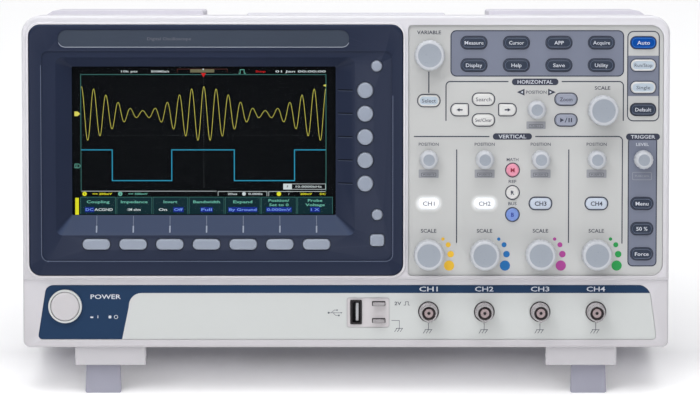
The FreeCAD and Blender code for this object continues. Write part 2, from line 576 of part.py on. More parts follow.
slope = math.tan(math.radians(TILT))
floor_at = lambda y: -P["leg_drop"] + (y - P["leg_y"]) * slope
for side, label in ((-1, "tilt_leg_left"), (1, "tilt_leg_right")):
    leg = Piece(label)
    lx = side * 145.0
    # a plate a little wider at the sole, hung from a rounded knuckle
    leg.pad([("poly", [(lx - 9.8, -4.0, 0), (lx - 10.95, -32.0, 0), (lx + 10.95, -32.0, 0), (lx + 9.8, -4.0, 0)])],
            P["leg_y"] - P["leg_half"], P["leg_y"] + P["leg_half"])
    leg.pad([("c", "Sheet.leg_y", "Sheet.leg_z", 3.0)], lx - 10.5, lx + 10.5, "YZ_Plane")
    # the sole follows the table top when the case leans back
    sk = leg.sketch([("poly", [(2.0, floor_at(2.0), 0), (24.0, floor_at(24.0), 0), (24.0, -40.0, 0), (2.0, -40.0, 0)])], 0.0, "YZ_Plane")
    leg.grow("Pocket", sk, 400.0, midplane=True)
    leg.round_edges(lambda e: abs(e.BoundBox.YLength - 4.0) < 0.2 and e.BoundBox.ZMin < -26 and e.BoundBox.XLength < 0.5, 1.2)
    # a heel on the front face meets the block's front wall and stops the leg upright
    leg.pad([("poly", [(8.95, -10.8, 0.3), (11.0, -10.8, 0), (11.0, -7.6, 0), (8.95, -7.6, 0.3)])], lx - 9.0, lx + 9.0, "YZ_Plane")
    leg.slice_both([("c", "Sheet.leg_y", "Sheet.leg_z", "Sheet.pin_hole_r")], 400.0, "YZ_Plane")

rf = Piece("rear_feet")
y0, y1, ys = 91.0, 108.0, P["sole_y"]
profile = [(y0, 1.0, 0), (y0, -P["sole_drop"] + 1.0, 0), (y0 + 1.0, -P["sole_drop"], 0), (ys, -P["sole_drop"], 0),
           (y1, floor_at(y1), 0), (y1, 1.0, 0)]
rf.pad([("poly", profile)], 138.0, 158.0, "YZ_Plane")
rf.pad([("poly", profile)], -158.0, -138.0, "YZ_Plane")

h = Piece("handle")
ai, ao, ah = P["arm_in"], P["arm_out"], P["arm_half"]
hy, hz = P["handle_y"], P["handle_z"]
side_profile = [(hy, hz - ah, 0), (100.0, hz - ah, 2.0), (100.0, hz + ah, 2.0), (hy, hz + ah, 0)]
h.pad([("poly", [(hy - 0.01, hz - ah, 0), (101.0, hz - ah, 3.0), (101.0, hz + ah, 3.0), (hy - 0.01, hz + ah, 0)])], ai, ao, "YZ_Plane")
h.pad([("poly", [(hy - 0.01, hz - ah, 0), (101.0, hz - ah, 3.0), (101.0, hz + ah, 3.0), (hy - 0.01, hz + ah, 0)])], -ao, -ai, "YZ_Plane")
h.pad([("c", hy, hz, ah)], ai, ao, "YZ_Plane")
h.pad([("c", hy, hz, ah)], -ao, -ai, "YZ_Plane")
h.pad([("poly", [(87.0, hz - ah, 3.0), (101.0, hz - ah, 3.0), (101.0, hz + ah, 3.0), (87.0, hz + ah, 3.0)])], -ai - 1, ai + 1, "YZ_Plane")
gh = P["grip_half"]
h.pad([("poly", [(85.6, hz - 5.4, 4.0), (103.0, hz - 5.4, 4.0), (103.0, hz + 5.8, 4.2), (85.6, hz + 5.8, 4.2)])], -gh, gh, "YZ_Plane")
h.round_edges(lambda e: (abs(e.BoundBox.XMin - gh) < 1e-3 and abs(e.BoundBox.XMax - gh) < 1e-3
                         or abs(e.BoundBox.XMin + gh) < 1e-3 and abs(e.BoundBox.XMax + gh) < 1e-3)
              and e.BoundBox.ZMax > hz + 5.0, 1.2)
h.slice_both([("c", "Sheet.handle_y", "Sheet.handle_z", "Sheet.handle_hole_r")], 400.0, "YZ_Plane")

pins = []
for side in (-1, 1):
    a, b = (64.8, 89.5) if side > 0 else (-89.5, -64.8)
    hp = rod(f"handle_pin_{side + 1}", "x", a, "Sheet.handle_y", "Sheet.handle_z", "Sheet.handle_pin_r", b - a)
    head = rod(f"handle_head_{side + 1}", "x", 62.4 if side > 0 else -64.6, "Sheet.handle_y", "Sheet.handle_z", 3.6, 2.2)
    pins.append(fuse(f"handle_pin_whole_{side + 1}", hp, head))
    a, b = (128.0, 159.0) if side > 0 else (-159.0, -128.0)
    pins.append(rod(f"leg_pin_{side + 1}", "x", a, "Sheet.leg_y", "Sheet.leg_z", "Sheet.pin_r", b - a))
group("hinge_pins", *pins)

screws = []
for i, (x, z) in enumerate(POSTS):
    shank = rod(f"screw_shank_{i}", "y", x, 18.0, z, 1.5, 25.0)
    head = rod(f"screw_head_{i}", "y", x, 42.0, z, 2.9, 2.8)
    slot_a = box(f"screw_slot_a{i}", x - 2.0, 43.4, z - 0.4, 4.0, 2.0, 0.8)
    slot_b = box(f"screw_slot_b{i}", x - 0.4, 43.4, z - 2.0, 0.8, 2.0, 4.0)
    screws.append(cut(f"screw_{i}", fuse(f"screw_blank_{i}", shank, head), slot_a, slot_b))
group("case_screws", *screws)


# ================================================================ keys
def keys(label, loops, skirts, front, back, skirt, edge):
    k = Piece(label)
    k.pad(loops, front, back)
    k.round_edges(lambda e: at_y(num(front))(e), edge)
    k.pad(skirts, skirt, back)
    return k


KF, KB, KS = "Sheet.key_front", "Sheet.key_back", "Sheet.key_skirt"
SF, SB, SS = "Sheet.soft_front", "Sheet.soft_back", "Sheet.soft_skirt"


def pill_keys(label, places, w, h, level=(KF, KB, KS), r=None, edge=0.8):
    return keys(label, [pill(x, z, w, h, 0.0, r) for x, z in places], [pill(x, z, w, h, 1.0, r) for x, z in places], *level, edge)


def round_keys(label, places, rr, level=(KF, KB, KS), edge=0.8):
    return keys(label, [("c", x, z, rr) for x, z in places], [("c", x, z, f"{rr} + 1.0") for x, z in places], *level, edge)


soft = (SF, SB, SS)
pill_keys("menu_keys", MENU_KEYS, "Sheet.menu_w", "Sheet.menu_h", soft)
round_keys("side_menu_keys", SIDE_KEYS, "Sheet.side_r", soft)
round_keys("option_key", [OPTION], "Sheet.tiny_r", soft)
round_keys("menu_off_key", [MENU_OFF], "Sheet.tiny_r", soft)
pill_keys("hardcopy_key", [COPY], "Sheet.copy_w", "Sheet.copy_h", soft, 2.0)
pill_keys("function_keys", FKEYS, "Sheet.fkey_w", "Sheet.fkey_h")
for label, z in AUTO.items():
    pill_keys(label, [("Sheet.auto_x", z)], "Sheet.fkey_w", "Sheet.fkey_h")
pill_keys("select_key", [SELECT], "Sheet.key_w", "Sheet.key_h")
pill_keys("search_keys", SEARCH, "Sheet.key_w", "Sheet.key_h")
keys("arrow_keys", [arrow_left(*ARROWS[0], 0.0), arrow_right(*ARROWS[1], 0.0)],
     [("rr", x, z, 12.4, 9.2, 1.4) for x, z in ARROWS], KF, KB, KS, 0.5)
pill_keys("zoom_play_keys", ZOOM, "Sheet.key_w", "Sheet.key_h")
pill_keys("channel_keys", [(x, "Sheet.chkey_z") for x in CH], "Sheet.key_w", "Sheet.key_h")
round_keys("math_ref_bus_keys", MRB, "Sheet.round_r")
pill_keys("trigger_keys", TRIG_KEYS, "Sheet.key_w", "Sheet.key_h")

# power button: a round cap on a square push rod
pb = Piece("power_button")
pb.pad([("c", "Sheet.power_x", "Sheet.power_z", "Sheet.power_r")], 0.2, 9.0)
pb.round_edges(lambda e: at_y(0.2)(e), 0.9)
pb.pad([("rr", "Sheet.power_x", "Sheet.power_z", 5.0, 5.0, 0.5)], 8.0, 30.4)


# ================================================================ knobs
def knob(label, place, r_, front, big):
    x, z = place
    k = Piece(label)
    k.pad([("c", x, z, r_)], front, "Sheet.knob_base")
    k.round_edges(lambda e: at_y(num(front))(e), 1.1)
    X, Z, R = num(x), num(z), num(r_)
    n, gr = (20, 0.85) if big else (14, 0.7)
    grips = [("c", X + (R + gr * 0.42) * math.cos(2 * math.pi * i / n), Z + (R + gr * 0.42) * math.sin(2 * math.pi * i / n), gr)
             for i in range(n)]
    k.pocket(grips, num(front) - 0.5, -1.0)
    k.pocket([("c", x, z, R - (1.9 if big else 1.7))], front, num(front) + 0.35)
    k.pad([("c", x, z, "Sheet.shaft_r")], "Sheet.knob_base - 0.1", "Sheet.shaft_end")
    return k


for label, place in BIG_KNOBS.items():
    knob(label, place, "Sheet.big_r", "Sheet.big_front", True)
for label, place in SMALL_KNOBS.items():
    knob(label, place, "Sheet.small_r", "Sheet.small_front", False)

# ================================================================ boards and inner parts
kb = Piece("keypad_board")
kb.pad([("poly", [(-172.0, 48.0, 2.0), (176.0, 48.0, 2.0), (183.0, 55.0, 2.0), (183.0, 170.0, 2.0), (172.0, 180.0, 2.0),
                  (172.0, 189.0, 2.0), (4.0, 189.0, 2.0), (4.0, 70.0, 1.0), (-172.0, 70.0, 2.0)])],
       "Sheet.board_front", "Sheet.board_back")
SWITCHES = (MENU_KEYS + SIDE_KEYS + [OPTION, MENU_OFF, COPY] + FKEYS + [("Sheet.auto_x", z) for z in AUTO.values()] + [SELECT]
            + SEARCH + ARROWS + ZOOM + [(x, "Sheet.chkey_z") for x in CH] + MRB + TRIG_KEYS)
square = lambda x, z, q: ("poly", [(num(x) + sx * q, num(z) + sz * q, 0) for sx, sz in ((-1, -1), (1, -1), (1, 1), (-1, 1))])
kb.pad([square(x, z, 2.5) for x, z in SWITCHES], 6.7, 8.4)
kb.pad([("c", x, z, 1.5) for x, z in SWITCHES], "Sheet.plunger_tip", 7.0)
kb.pad([("rr", 60.0, 120.0, 30.0, 6.0, 0.5), ("rr", 120.0, 68.0, 12.0, 12.0, 0.5)], 9.4, 12.0)
enc = Piece("encoders")
places = list(BIG_KNOBS.values()) + list(SMALL_KNOBS.values())
enc.pad([("rr", x, z, 11.0, 11.0, 0.8) for x, z in places], 4.1, 7.9)
enc.pocket([("c", x, z, "Sheet.bush_r") for x, z in places], 3.0, 9.0)

ch = Piece("chassis")
ch.pad([("poly", [(18.0, 4.6, 1.0), (105.0, 4.6, 0.3), (105.0, 5.8, 0.3), (19.2, 5.8, 0.4), (19.2, 184.0, 0.3), (18.0, 184.0, 0.3)])],
       -176.0, 176.0, "YZ_Plane")
STAND = [(-34.0, 20.0), (166.0, 66.0), (-34.0, 172.0), (166.0, 172.0), (-166.0, 46.0), (-66.0, 46.0), (-166.0, 164.0), (-66.0, 164.0)]
ch.pad([("c", x, z, 3.0) for x, z in STAND], 19.0, 25.9)
ch.pocket([("rr", 99.0, 22.0, 124.0, 26.0, 3.0), ("rr", "Sheet.power_x", "Sheet.power_z", 14.0, 14.0, 2.0),
           ("rr", -120.0, 110.0, 60.0, 70.0, 6.0), ("rr", 20.0, 110.0, 70.0, 80.0, 6.0), ("rr", 120.0, 110.0, 60.0, 60.0, 6.0)],
          10.0, 21.0)
ch.pocket([("rr", -60.0 + 9.0 * i, 70.0, 3.6, 34.0, 1.6) for i in range(14)], 3.0, 7.0, "XY_Plane")

mb = Piece("main_board")
mb.pad([("poly", [(-40.0, 10.0, 2.0), (172.0, 10.0, 2.0), (172.0, 178.0, 2.0), (-40.0, 178.0, 2.0)])], 26.0, 27.6)
mb.pad([("rr", 40.0, 110.0, 34.0, 34.0, 1.0)], 27.4, 30.0)
mb.pad([("rr", 40.0 - 14.0 + 4.0 * i, 110.0, 1.4, 32.0, 0.3) for i in range(8)], 29.8, 42.0)
mb.pad([("rr", -8.0, 110.0, 20.0, 14.0, 0.5), ("rr", -8.0, 84.0, 20.0, 14.0, 0.5), ("rr", 84.0, 130.0, 17.0, 17.0, 0.5),
        ("rr", 84.0, 96.0, 17.0, 17.0, 0.5), ("rr", 120.0, 130.0, 14.0, 14.0, 0.5), ("rr", 140.0, 96.0, 14.0, 14.0, 0.5),
        ("rr", -10.0, 150.0, 40.0, 8.0, 0.5), ("rr", 60.0, 160.0, 60.0, 7.0, 0.5)], 27.4, 30.5)
fs = Piece("frontend_shield")
fs.pad([("rr", 99.0, 37.0, 132.0, 46.0, 1.5)], 27.8, 41.0)
fs.pocket([("rr", 99.0 - 48.0 + 32.0 * i, 37.0, 30.4, 43.0, 0.8) for i in range(4)], 27.0, 40.0)

ps = Piece("power_supply")
ps.pad([("rr", -116.0, 105.0, 112.0, 130.0, 2.0)], 26.0, 27.6)
ps.pad([("rr", -118.0, 112.0, 34.0, 30.0, 2.0)], 27.4, 58.0)
ps.pad([("c", -152.0, 140.0, 9.0), ("c", -152.0, 116.0, 9.0), ("c", -80.0, 150.0, 6.0), ("c", -80.0, 134.0, 6.0)], 27.4, 54.0)
ps.pad([("rr", -138.0, 76.0, 4.0, 34.0, 0.5), ("rr", -98.0, 76.0, 4.0, 34.0, 0.5), ("rr", -118.0, 64.0, 24.0, 12.0, 2.0)], 27.4, 50.0)

sw = Piece("power_switch")
sw.pad([("rr", "Sheet.power_x", "Sheet.power_z", 12.0, 14.0, 0.8)], 34.0, 54.0)
sw.pad([("rr", P["power_x"] + 3.0, 9.9, 10.0, 7.6, 0.4)], 34.0, 50.0)
sw.pad([("rr", P["power_x"] + 3.0, 15.5, 10.0, 4.5, 0.4)], 34.0, 50.0)

# ================================================================ sockets
HEX = 7.2


def bnc(tag, x, z, front, face, end, flip=False):
    """A bayonet socket: washer or nut on the panel face, open barrel with two lugs, body behind the panel."""
    if not flip:
        nut = rod(f"bnc_washer_{tag}", "y", x, face - 0.8, z, 6.05, 0.8)
        barrel = rod(f"bnc_barrel_{tag}", "y", x, front, z, "Sheet.bnc_r", end - front)
        collar = rod(f"bnc_collar_{tag}", "y", x, face - 2.6, z, 5.5, 2.0)
        lip = rod(f"bnc_lip_{tag}", "y", x, front, z, 4.95, 1.2)
        lug = rod(f"bnc_lug_{tag}", "z", x, front + 3.4, f"{z} - 5.7", 1.0, 11.4)
        bore = rod(f"bnc_bore_{tag}", "y", x, front - 1.0, z, "Sheet.bnc_bore", 9.2)
    else:
        nut = prism(f"bnc_nut_{tag}", x, face, z, HEX, 2.0)
        barrel = rod(f"bnc_barrel_{tag}", "y", x, end, z, "Sheet.bnc_r", front - end)
        collar = rod(f"bnc_collar_{tag}", "y", x, face + 1.8, z, 6.1, 1.4)
        lip = rod(f"bnc_lip_{tag}", "y", x, front - 1.2, z, 4.95, 1.2)
        lug = rod(f"bnc_lug_{tag}", "z", x, front - 3.4, f"{z} - 5.7", 1.0, 11.4)
        bore = rod(f"bnc_bore_{tag}", "y", x, front - 8.2, z, "Sheet.bnc_bore", 9.2)
    return cut(f"bnc_{tag}", fuse(f"bnc_blank_{tag}", nut, barrel, collar, lip, lug), bore)


def insert(tag, x, z, tip, root, flip=False):
    lo, hi = min(tip, root), max(tip, root)
    body = rod(f"insert_{tag}", "y", x, lo, z, 2.6, hi - lo)
    hole = rod(f"insert_hole_{tag}", "y", x, lo - 1.0 if not flip else hi - 4.0, z, 0.7, 5.0)
    return cut(f"insert_cut_{tag}", body, hole)


bf = P["bnc_front"]
group("input_connectors", *[bnc(f"ch{i + 1}", CH[i], "Sheet.bnc_z", bf, P["strip_front"], P["bnc_end"]) for i in range(4)])
group("contact_inserts", *[insert(f"ch{i + 1}", CH[i], "Sheet.bnc_z", bf + 1.6, bf + 8.2) for i in range(4)],
      insert("trig", "Sheet.trig_x", "Sheet.inlet_z", 119.9, 113.3, True))
keep(bnc("trig", "Sheet.trig_x", "Sheet.inlet_z", 121.5, P["bay_floor"], 92.0, True), "trigger_out_connector")

ub = Piece("usb_host_port")
ub.pad([("rr", "Sheet.usb_x", "Sheet.usb_z", 5.8, 13.4, 0.3)], 2.4, 17.0)
ub.pocket([("rr", "Sheet.usb_x", "Sheet.usb_z", 4.9, 12.5, 0.2)], 2.0, 15.8)
ub.pad([("rr", P["usb_x"] + 0.7, "Sheet.usb_z", 1.8, 11.0, 0.2)], 4.6, 16.2)

tabs = []
for tag, z in (("hi", "Sheet.tab_hi"), ("lo", "Sheet.tab_lo")):
    strip = box(f"tab_{tag}", "Sheet.tab_x - 3.5", -1.0, f"{z} - 0.95", 7.0, 10.0, 1.9)
    hole = rod(f"tab_hole_{tag}", "z", "Sheet.tab_x", 0.9, f"{z} - 3", 1.1, 6.0)
    tabs.append(cut(f"tab_cut_{tag}", strip, hole))
group("probe_terminals", *tabs)

ac = Piece("ac_inlet")
ix, iz = P["inlet_x"], P["inlet_z"]
ac.pad([("rr", "Sheet.inlet_x", "Sheet.inlet_z", 27.2, 20.0, 1.4)], 90.0, 111.0)
ac.pad([("rr", "Sheet.inlet_x", "Sheet.inlet_z", 31.5, 24.5, 2.0)], "Sheet.bay_floor", "Sheet.bay_floor + 2.4")
sk = ac.sketch([("poly", [(ix - 12.2, iz - 8.2, 0.8), (ix + 12.2, iz - 8.2, 0.8), (ix + 12.2, iz + 4.6, 0.4), (ix + 8.6, iz + 8.2, 0.4),
                          (ix - 8.6, iz + 8.2, 0.4), (ix - 12.2, iz + 4.6, 0.4)])], 113.0)
ac.grow("Pocket", sk, 17.0, back=True)
ac.pad([("rr", ix - 7.0, iz - 2.0, 2.0, 4.0, 0.3), ("rr", ix + 7.0, iz - 2.0, 2.0, 4.0, 0.3), ("rr", ix, iz + 2.6, 2.0, 4.0, 0.3)], 95.5, 109.0)
ac.pad([("rr", ix - 7.0, iz - 2.0, 4.8, 0.8, 0.2), ("rr", ix + 7.0, iz - 2.0, 4.8, 0.8, 0.2), ("rr", ix, iz + 2.6, 4.8, 0.8, 0.2)], 82.0, 90.5)

ud = Piece("usb_device_port")
ud.pad([("rr", "Sheet.usbb_x", "Sheet.inlet_z", 12.2, 11.0, 0.4)], 96.0, 111.2)
sk = ud.sketch([("poly", [(P["usbb_x"] - 4.3, iz - 3.9, 0.3), (P["usbb_x"] + 4.3, iz - 3.9, 0.3), (P["usbb_x"] + 4.3, iz + 2.0, 0.2),
                          (P["usbb_x"] + 2.6, iz + 3.9, 0.2), (P["usbb_x"] - 2.6, iz + 3.9, 0.2), (P["usbb_x"] - 4.3, iz + 2.0, 0.2)])], 112.0)
ud.grow("Pocket", sk, 11.0, back=True)
ud.pad([("rr", "Sheet.usbb_x", P["inlet_z"] - 0.2, 5.6, 3.2, 0.2)], 100.5, 110.0)

# ================================================================ fan
ff = Piece("fan_frame")
ff.pad([("rr", "Sheet.fan_x", "Sheet.fan_z", "Sheet.fan_side", "Sheet.fan_side", 4.0)], 96.0, 111.2)
ff.pocket([("c", "Sheet.fan_x", "Sheet.fan_z", 28.4)], 95.0, 113.0)
ff.pocket([("c", fx + sx * 25.4, fz + sz * 25.4, 1.8) for sx in (-1, 1) for sz in (-1, 1)], 95.0, 113.0)
ff.pad([("poly", [(fx - 1.7, fz - 29.0, 0), (fx + 1.7, fz - 29.0, 0), (fx + 1.7, fz + 29.0, 0), (fx - 1.7, fz + 29.0, 0)])], 109.0, 111.2)
ff.pad([("poly", [(fx - 29.0, fz - 1.7, 0), (fx + 29.0, fz - 1.7, 0), (fx + 29.0, fz + 1.7, 0), (fx - 29.0, fz + 1.7, 0)])], 109.0, 111.2)
ff.pad([("c", "Sheet.fan_x", "Sheet.fan_z", 11.0)], 108.6, 111.2)
ff.pad([("c", "Sheet.fan_x", "Sheet.fan_z", 1.5)], 98.5, 109.0)

hub = rod("rotor_hub", "y", "Sheet.fan_x", 97.0, "Sheet.fan_z", 12.0, 11.0)
bore = rod("rotor_bore", "y", "Sheet.fan_x", 98.2, "Sheet.fan_z", 1.56, 11.0)
blades = []
for i in range(7):
    b = doc.addObject("Part::Box", f"rotor_blade_{i}")
    b.Length, b.Width, b.Height = 16.6, 1.4, 11.5
    spin = Rotation(V(0, 1, 0), 360.0 / 7 * i)
    pitch = Rotation(V(1, 0, 0), -52)
    mid_point = spin.multVec(V(11.0, 0, 0)) + V(P["fan_x"], 102.5, P["fan_z"])
    local = V(0, -0.7, -5.75)
    rot = spin.multiply(pitch)
    b.Placement = Placement(mid_point + rot.multVec(local), rot)
    blades.append(b)
keep(cut("rotor_cut", fuse("rotor_blank", hub, *blades), bore), "fan_rotor")

# ================================================================ placement, checks and export
doc.recompute()
for o in NODES:
    o.Placement = Placement(V(0, P["origin_y"], P["origin_z"]), Rotation(V(1, 0, 0), -P["lean_deg"]))
    o.setExpression("Placement.Base.y", "Sheet.origin_y")
    o.setExpression("Placement.Base.z", "Sheet.origin_z")
    o.setExpression("Placement.Rotation.Angle", "-Sheet.lean_deg")
doc.recompute()

problems = []
for o in doc.Objects:
    if "Invalid" in o.State or "Error" in o.State:
        problems.append(f"{o.Name} ({o.Label}): {o.State}")
labels = [o.Label for o in NODES]
if len(set(labels)) != len(labels):
    problems.append("two pieces share a label")
whole = None
fine = []
total = 0.0
for o in NODES:
    shape = o.Shape
    if shape.isNull() or not shape.isValid() or not shape.Solids:
        problems.append(f"{o.Label}: the shape is empty or not valid")
        continue
    if whole is None:
        whole = FreeCAD.BoundBox(shape.BoundBox)
    whole.add(shape.BoundBox)
    if o.Label in ("rear_cover", "input_connectors", "tilt_leg_left", "rear_feet", "front_frame"):
        pts = shape.tessellate(0.05)[0]
        fine += [(min(q.y for q in pts), max(q.y for q in pts)), (min(q.z for q in pts), max(q.z for q in pts))]
    total += sum(q.Volume for q in shape.Solids)
if problems:
    raise SystemExit("\n".join(problems))
for old in os.listdir("parts"):
    if old.endswith(".step") and old[:-5] not in labels:
        os.remove(os.path.join("parts", old))
for o in NODES:
    o.Shape.exportStep(os.path.join("parts", o.Label + ".step"))
print(len(NODES), "pieces, volume cm3", round(total / 1000, 1))
print("box", [round(v, 3) for v in (whole.XMin, whole.XMax, whole.YMin, whole.YMax, whole.ZMin, whole.ZMax)])
print("lean", TILT, "depth", min(a[0] for a in fine[0::2]), max(a[1] for a in fine[0::2]),
      "height", min(a[0] for a in fine[1::2]), max(a[1] for a in fine[1::2]))
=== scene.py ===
import math

import bpy
from mathutils import Matrix, Vector
from mathutils.geometry import tessellate_polygon


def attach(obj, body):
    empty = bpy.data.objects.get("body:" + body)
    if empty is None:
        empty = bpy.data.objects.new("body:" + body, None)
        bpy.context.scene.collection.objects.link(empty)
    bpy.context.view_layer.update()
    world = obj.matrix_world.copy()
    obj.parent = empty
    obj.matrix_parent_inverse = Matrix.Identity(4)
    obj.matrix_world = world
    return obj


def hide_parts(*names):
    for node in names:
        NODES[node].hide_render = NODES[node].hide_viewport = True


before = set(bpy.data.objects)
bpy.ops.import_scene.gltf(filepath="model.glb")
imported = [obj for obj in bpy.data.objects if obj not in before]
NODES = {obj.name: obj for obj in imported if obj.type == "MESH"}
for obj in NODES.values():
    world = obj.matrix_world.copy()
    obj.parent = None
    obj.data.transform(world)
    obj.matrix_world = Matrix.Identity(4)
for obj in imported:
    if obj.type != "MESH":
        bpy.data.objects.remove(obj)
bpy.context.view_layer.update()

# ---------------------------------------------------------------- the leaning case
# Pieces are drawn in case millimetres (X right, Y back from the front rim, Z up from
# the case's underside) and then laid into the row frame.
LEAN = math.radians(11.059296)
CASE = Matrix.Translation((0.0, -0.070785, 0.0295856)) @ Matrix.Rotation(-LEAN, 4, "X") @ Matrix.Scale(0.001, 4)
CHX = [49.2 + 33.2 * i for i in range(4)]
FASCIA_Y, STRIP_Y, BEZEL_Y = 1.6, 2.6, -0.8
KEY_Y, SOFT_Y = -0.2, -1.5
POS_Z, SCALE_Z, CHKEY_Z = 112.2, 55.7, 85.9


def srgb(r, g, b):
    out = []
    for c in (r, g, b):
        c /= 255.0
        out.append(c / 12.92 if c <= 0.04045 else ((c + 0.055) / 1.055) ** 2.4)
    return tuple(out)


# ---------------------------------------------------------------- materials
MATS = {}


def plastic(name, rgb, rough=0.45, grain=900.0, bump=0.04, vary=0.04, metal=0.0, blotch=14.0, spec=0.5, coat=0.0, edge_highlight=0.0, up=None, low=None):
    """Moulded or printed surface: fine grain in the bump, a slow drift in colour and gloss."""
    if name in MATS:
        return MATS[name]
    m = bpy.data.materials.new(name)
    m.use_nodes = True
    nt = m.node_tree
    n, l = nt.nodes, nt.links
    b = n["Principled BSDF"]
    b.inputs["Metallic"].default_value = metal
    b.inputs["Specular IOR Level"].default_value = spec
    b.inputs["Coat Weight"].default_value = coat
    b.inputs["Coat Roughness"].default_value = 0.12
    c = srgb(*rgb)
    geo = n.new("ShaderNodeTexCoord")
    slow = n.new("ShaderNodeTexNoise")
    slow.inputs["Scale"].default_value = blotch
    slow.inputs["Detail"].default_value = 3.0
    l.new(geo.outputs["Object"], slow.inputs["Vector"])
    fine = n.new("ShaderNodeTexNoise")
    fine.inputs["Scale"].default_value = grain
    fine.inputs["Detail"].default_value = 2.0
    l.new(geo.outputs["Object"], fine.inputs["Vector"])
    ramp = n.new("ShaderNodeValToRGB")
    ramp.color_ramp.elements[0].position = 0.3
    ramp.color_ramp.elements[1].position = 0.72
    lo = [max(0.0, v * (1.0 - vary)) for v in c]
    hi = [min(1.0, v * (1.0 + vary)) for v in c]
    ramp.color_ramp.elements[0].color = (*lo, 1)
    ramp.color_ramp.elements[1].color = (*hi, 1)
    l.new(slow.outputs["Fac"], ramp.inputs["Fac"])
    colour = ramp.outputs["Color"]
    if up:      # painted highlight: a lighter colour on the slopes that face up
        gn = n.new("ShaderNodeNewGeometry")
        sp = n.new("ShaderNodeSeparateXYZ")
        l.new(gn.outputs["Normal"], sp.inputs["Vector"])
        um = n.new("ShaderNodeMapRange")
        um.inputs["From Min"].default_value = 0.35
        um.inputs["From Max"].default_value = 0.55
        l.new(sp.outputs["Z"], um.inputs["Value"])
        ux = n.new("ShaderNodeMix")
        ux.data_type = "RGBA"
        ux.inputs["B"].default_value = (*srgb(*up), 1)
        l.new(um.outputs["Result"], ux.inputs["Factor"])
        l.new(colour, ux.inputs["A"])
        colour = ux.outputs["Result"]
    if low:     # painted shade: darker towards the foot of the front
        gl = n.new("ShaderNodeSeparateXYZ")
        l.new(geo.outputs["Object"], gl.inputs["Vector"])
        lm = n.new("ShaderNodeMapRange")
        lm.inputs["From Min"].default_value = 0.03
        lm.inputs["From Max"].default_value = 0.16
        l.new(gl.outputs["Z"], lm.inputs["Value"])
        lx = n.new("ShaderNodeMix")
        lx.data_type = "RGBA"
        lx.inputs["A"].default_value = (*srgb(*low), 1)
        l.new(lm.outputs["Result"], lx.inputs["Factor"])
        l.new(colour, lx.inputs["B"])
        colour = lx.outputs["Result"]
    # painted highlight: sharp convex edges (high Pointiness) mixed towards a lighter colour
    if edge_highlight > 0:
        g = n.new("ShaderNodeNewGeometry")
        edge = n.new("ShaderNodeMapRange")
        edge.inputs["From Min"].default_value = 0.52
        edge.inputs["From Max"].default_value = 0.62
        edge.inputs["To Max"].default_value = edge_highlight
        l.new(g.outputs["Pointiness"], edge.inputs["Value"])
        mix = n.new("ShaderNodeMix")
        mix.data_type = "RGBA"
        mix.inputs["B"].default_value = (*[min(1.0, v * 1.3 + 0.04) for v in c], 1)
        l.new(edge.outputs["Result"], mix.inputs["Factor"])
        l.new(colour, mix.inputs["A"])
        l.new(mix.outputs["Result"], b.inputs["Base Color"])
    else:
        l.new(colour, b.inputs["Base Color"])
    rr = n.new("ShaderNodeMapRange")
    rr.inputs["To Min"].default_value = max(0.02, rough - 0.07)
    rr.inputs["To Max"].default_value = min(1.0, rough + 0.07)
    l.new(fine.outputs["Fac"], rr.inputs["Value"])
    l.new(rr.outputs["Result"], b.inputs["Roughness"])
    bp = n.new("ShaderNodeBump")
    bp.inputs["Strength"].default_value = bump
    bp.inputs["Distance"].default_value = 0.0004
    l.new(fine.outputs["Fac"], bp.inputs["Height"])
    l.new(bp.outputs["Normal"], b.inputs["Normal"])
    MATS[name] = m
    return m


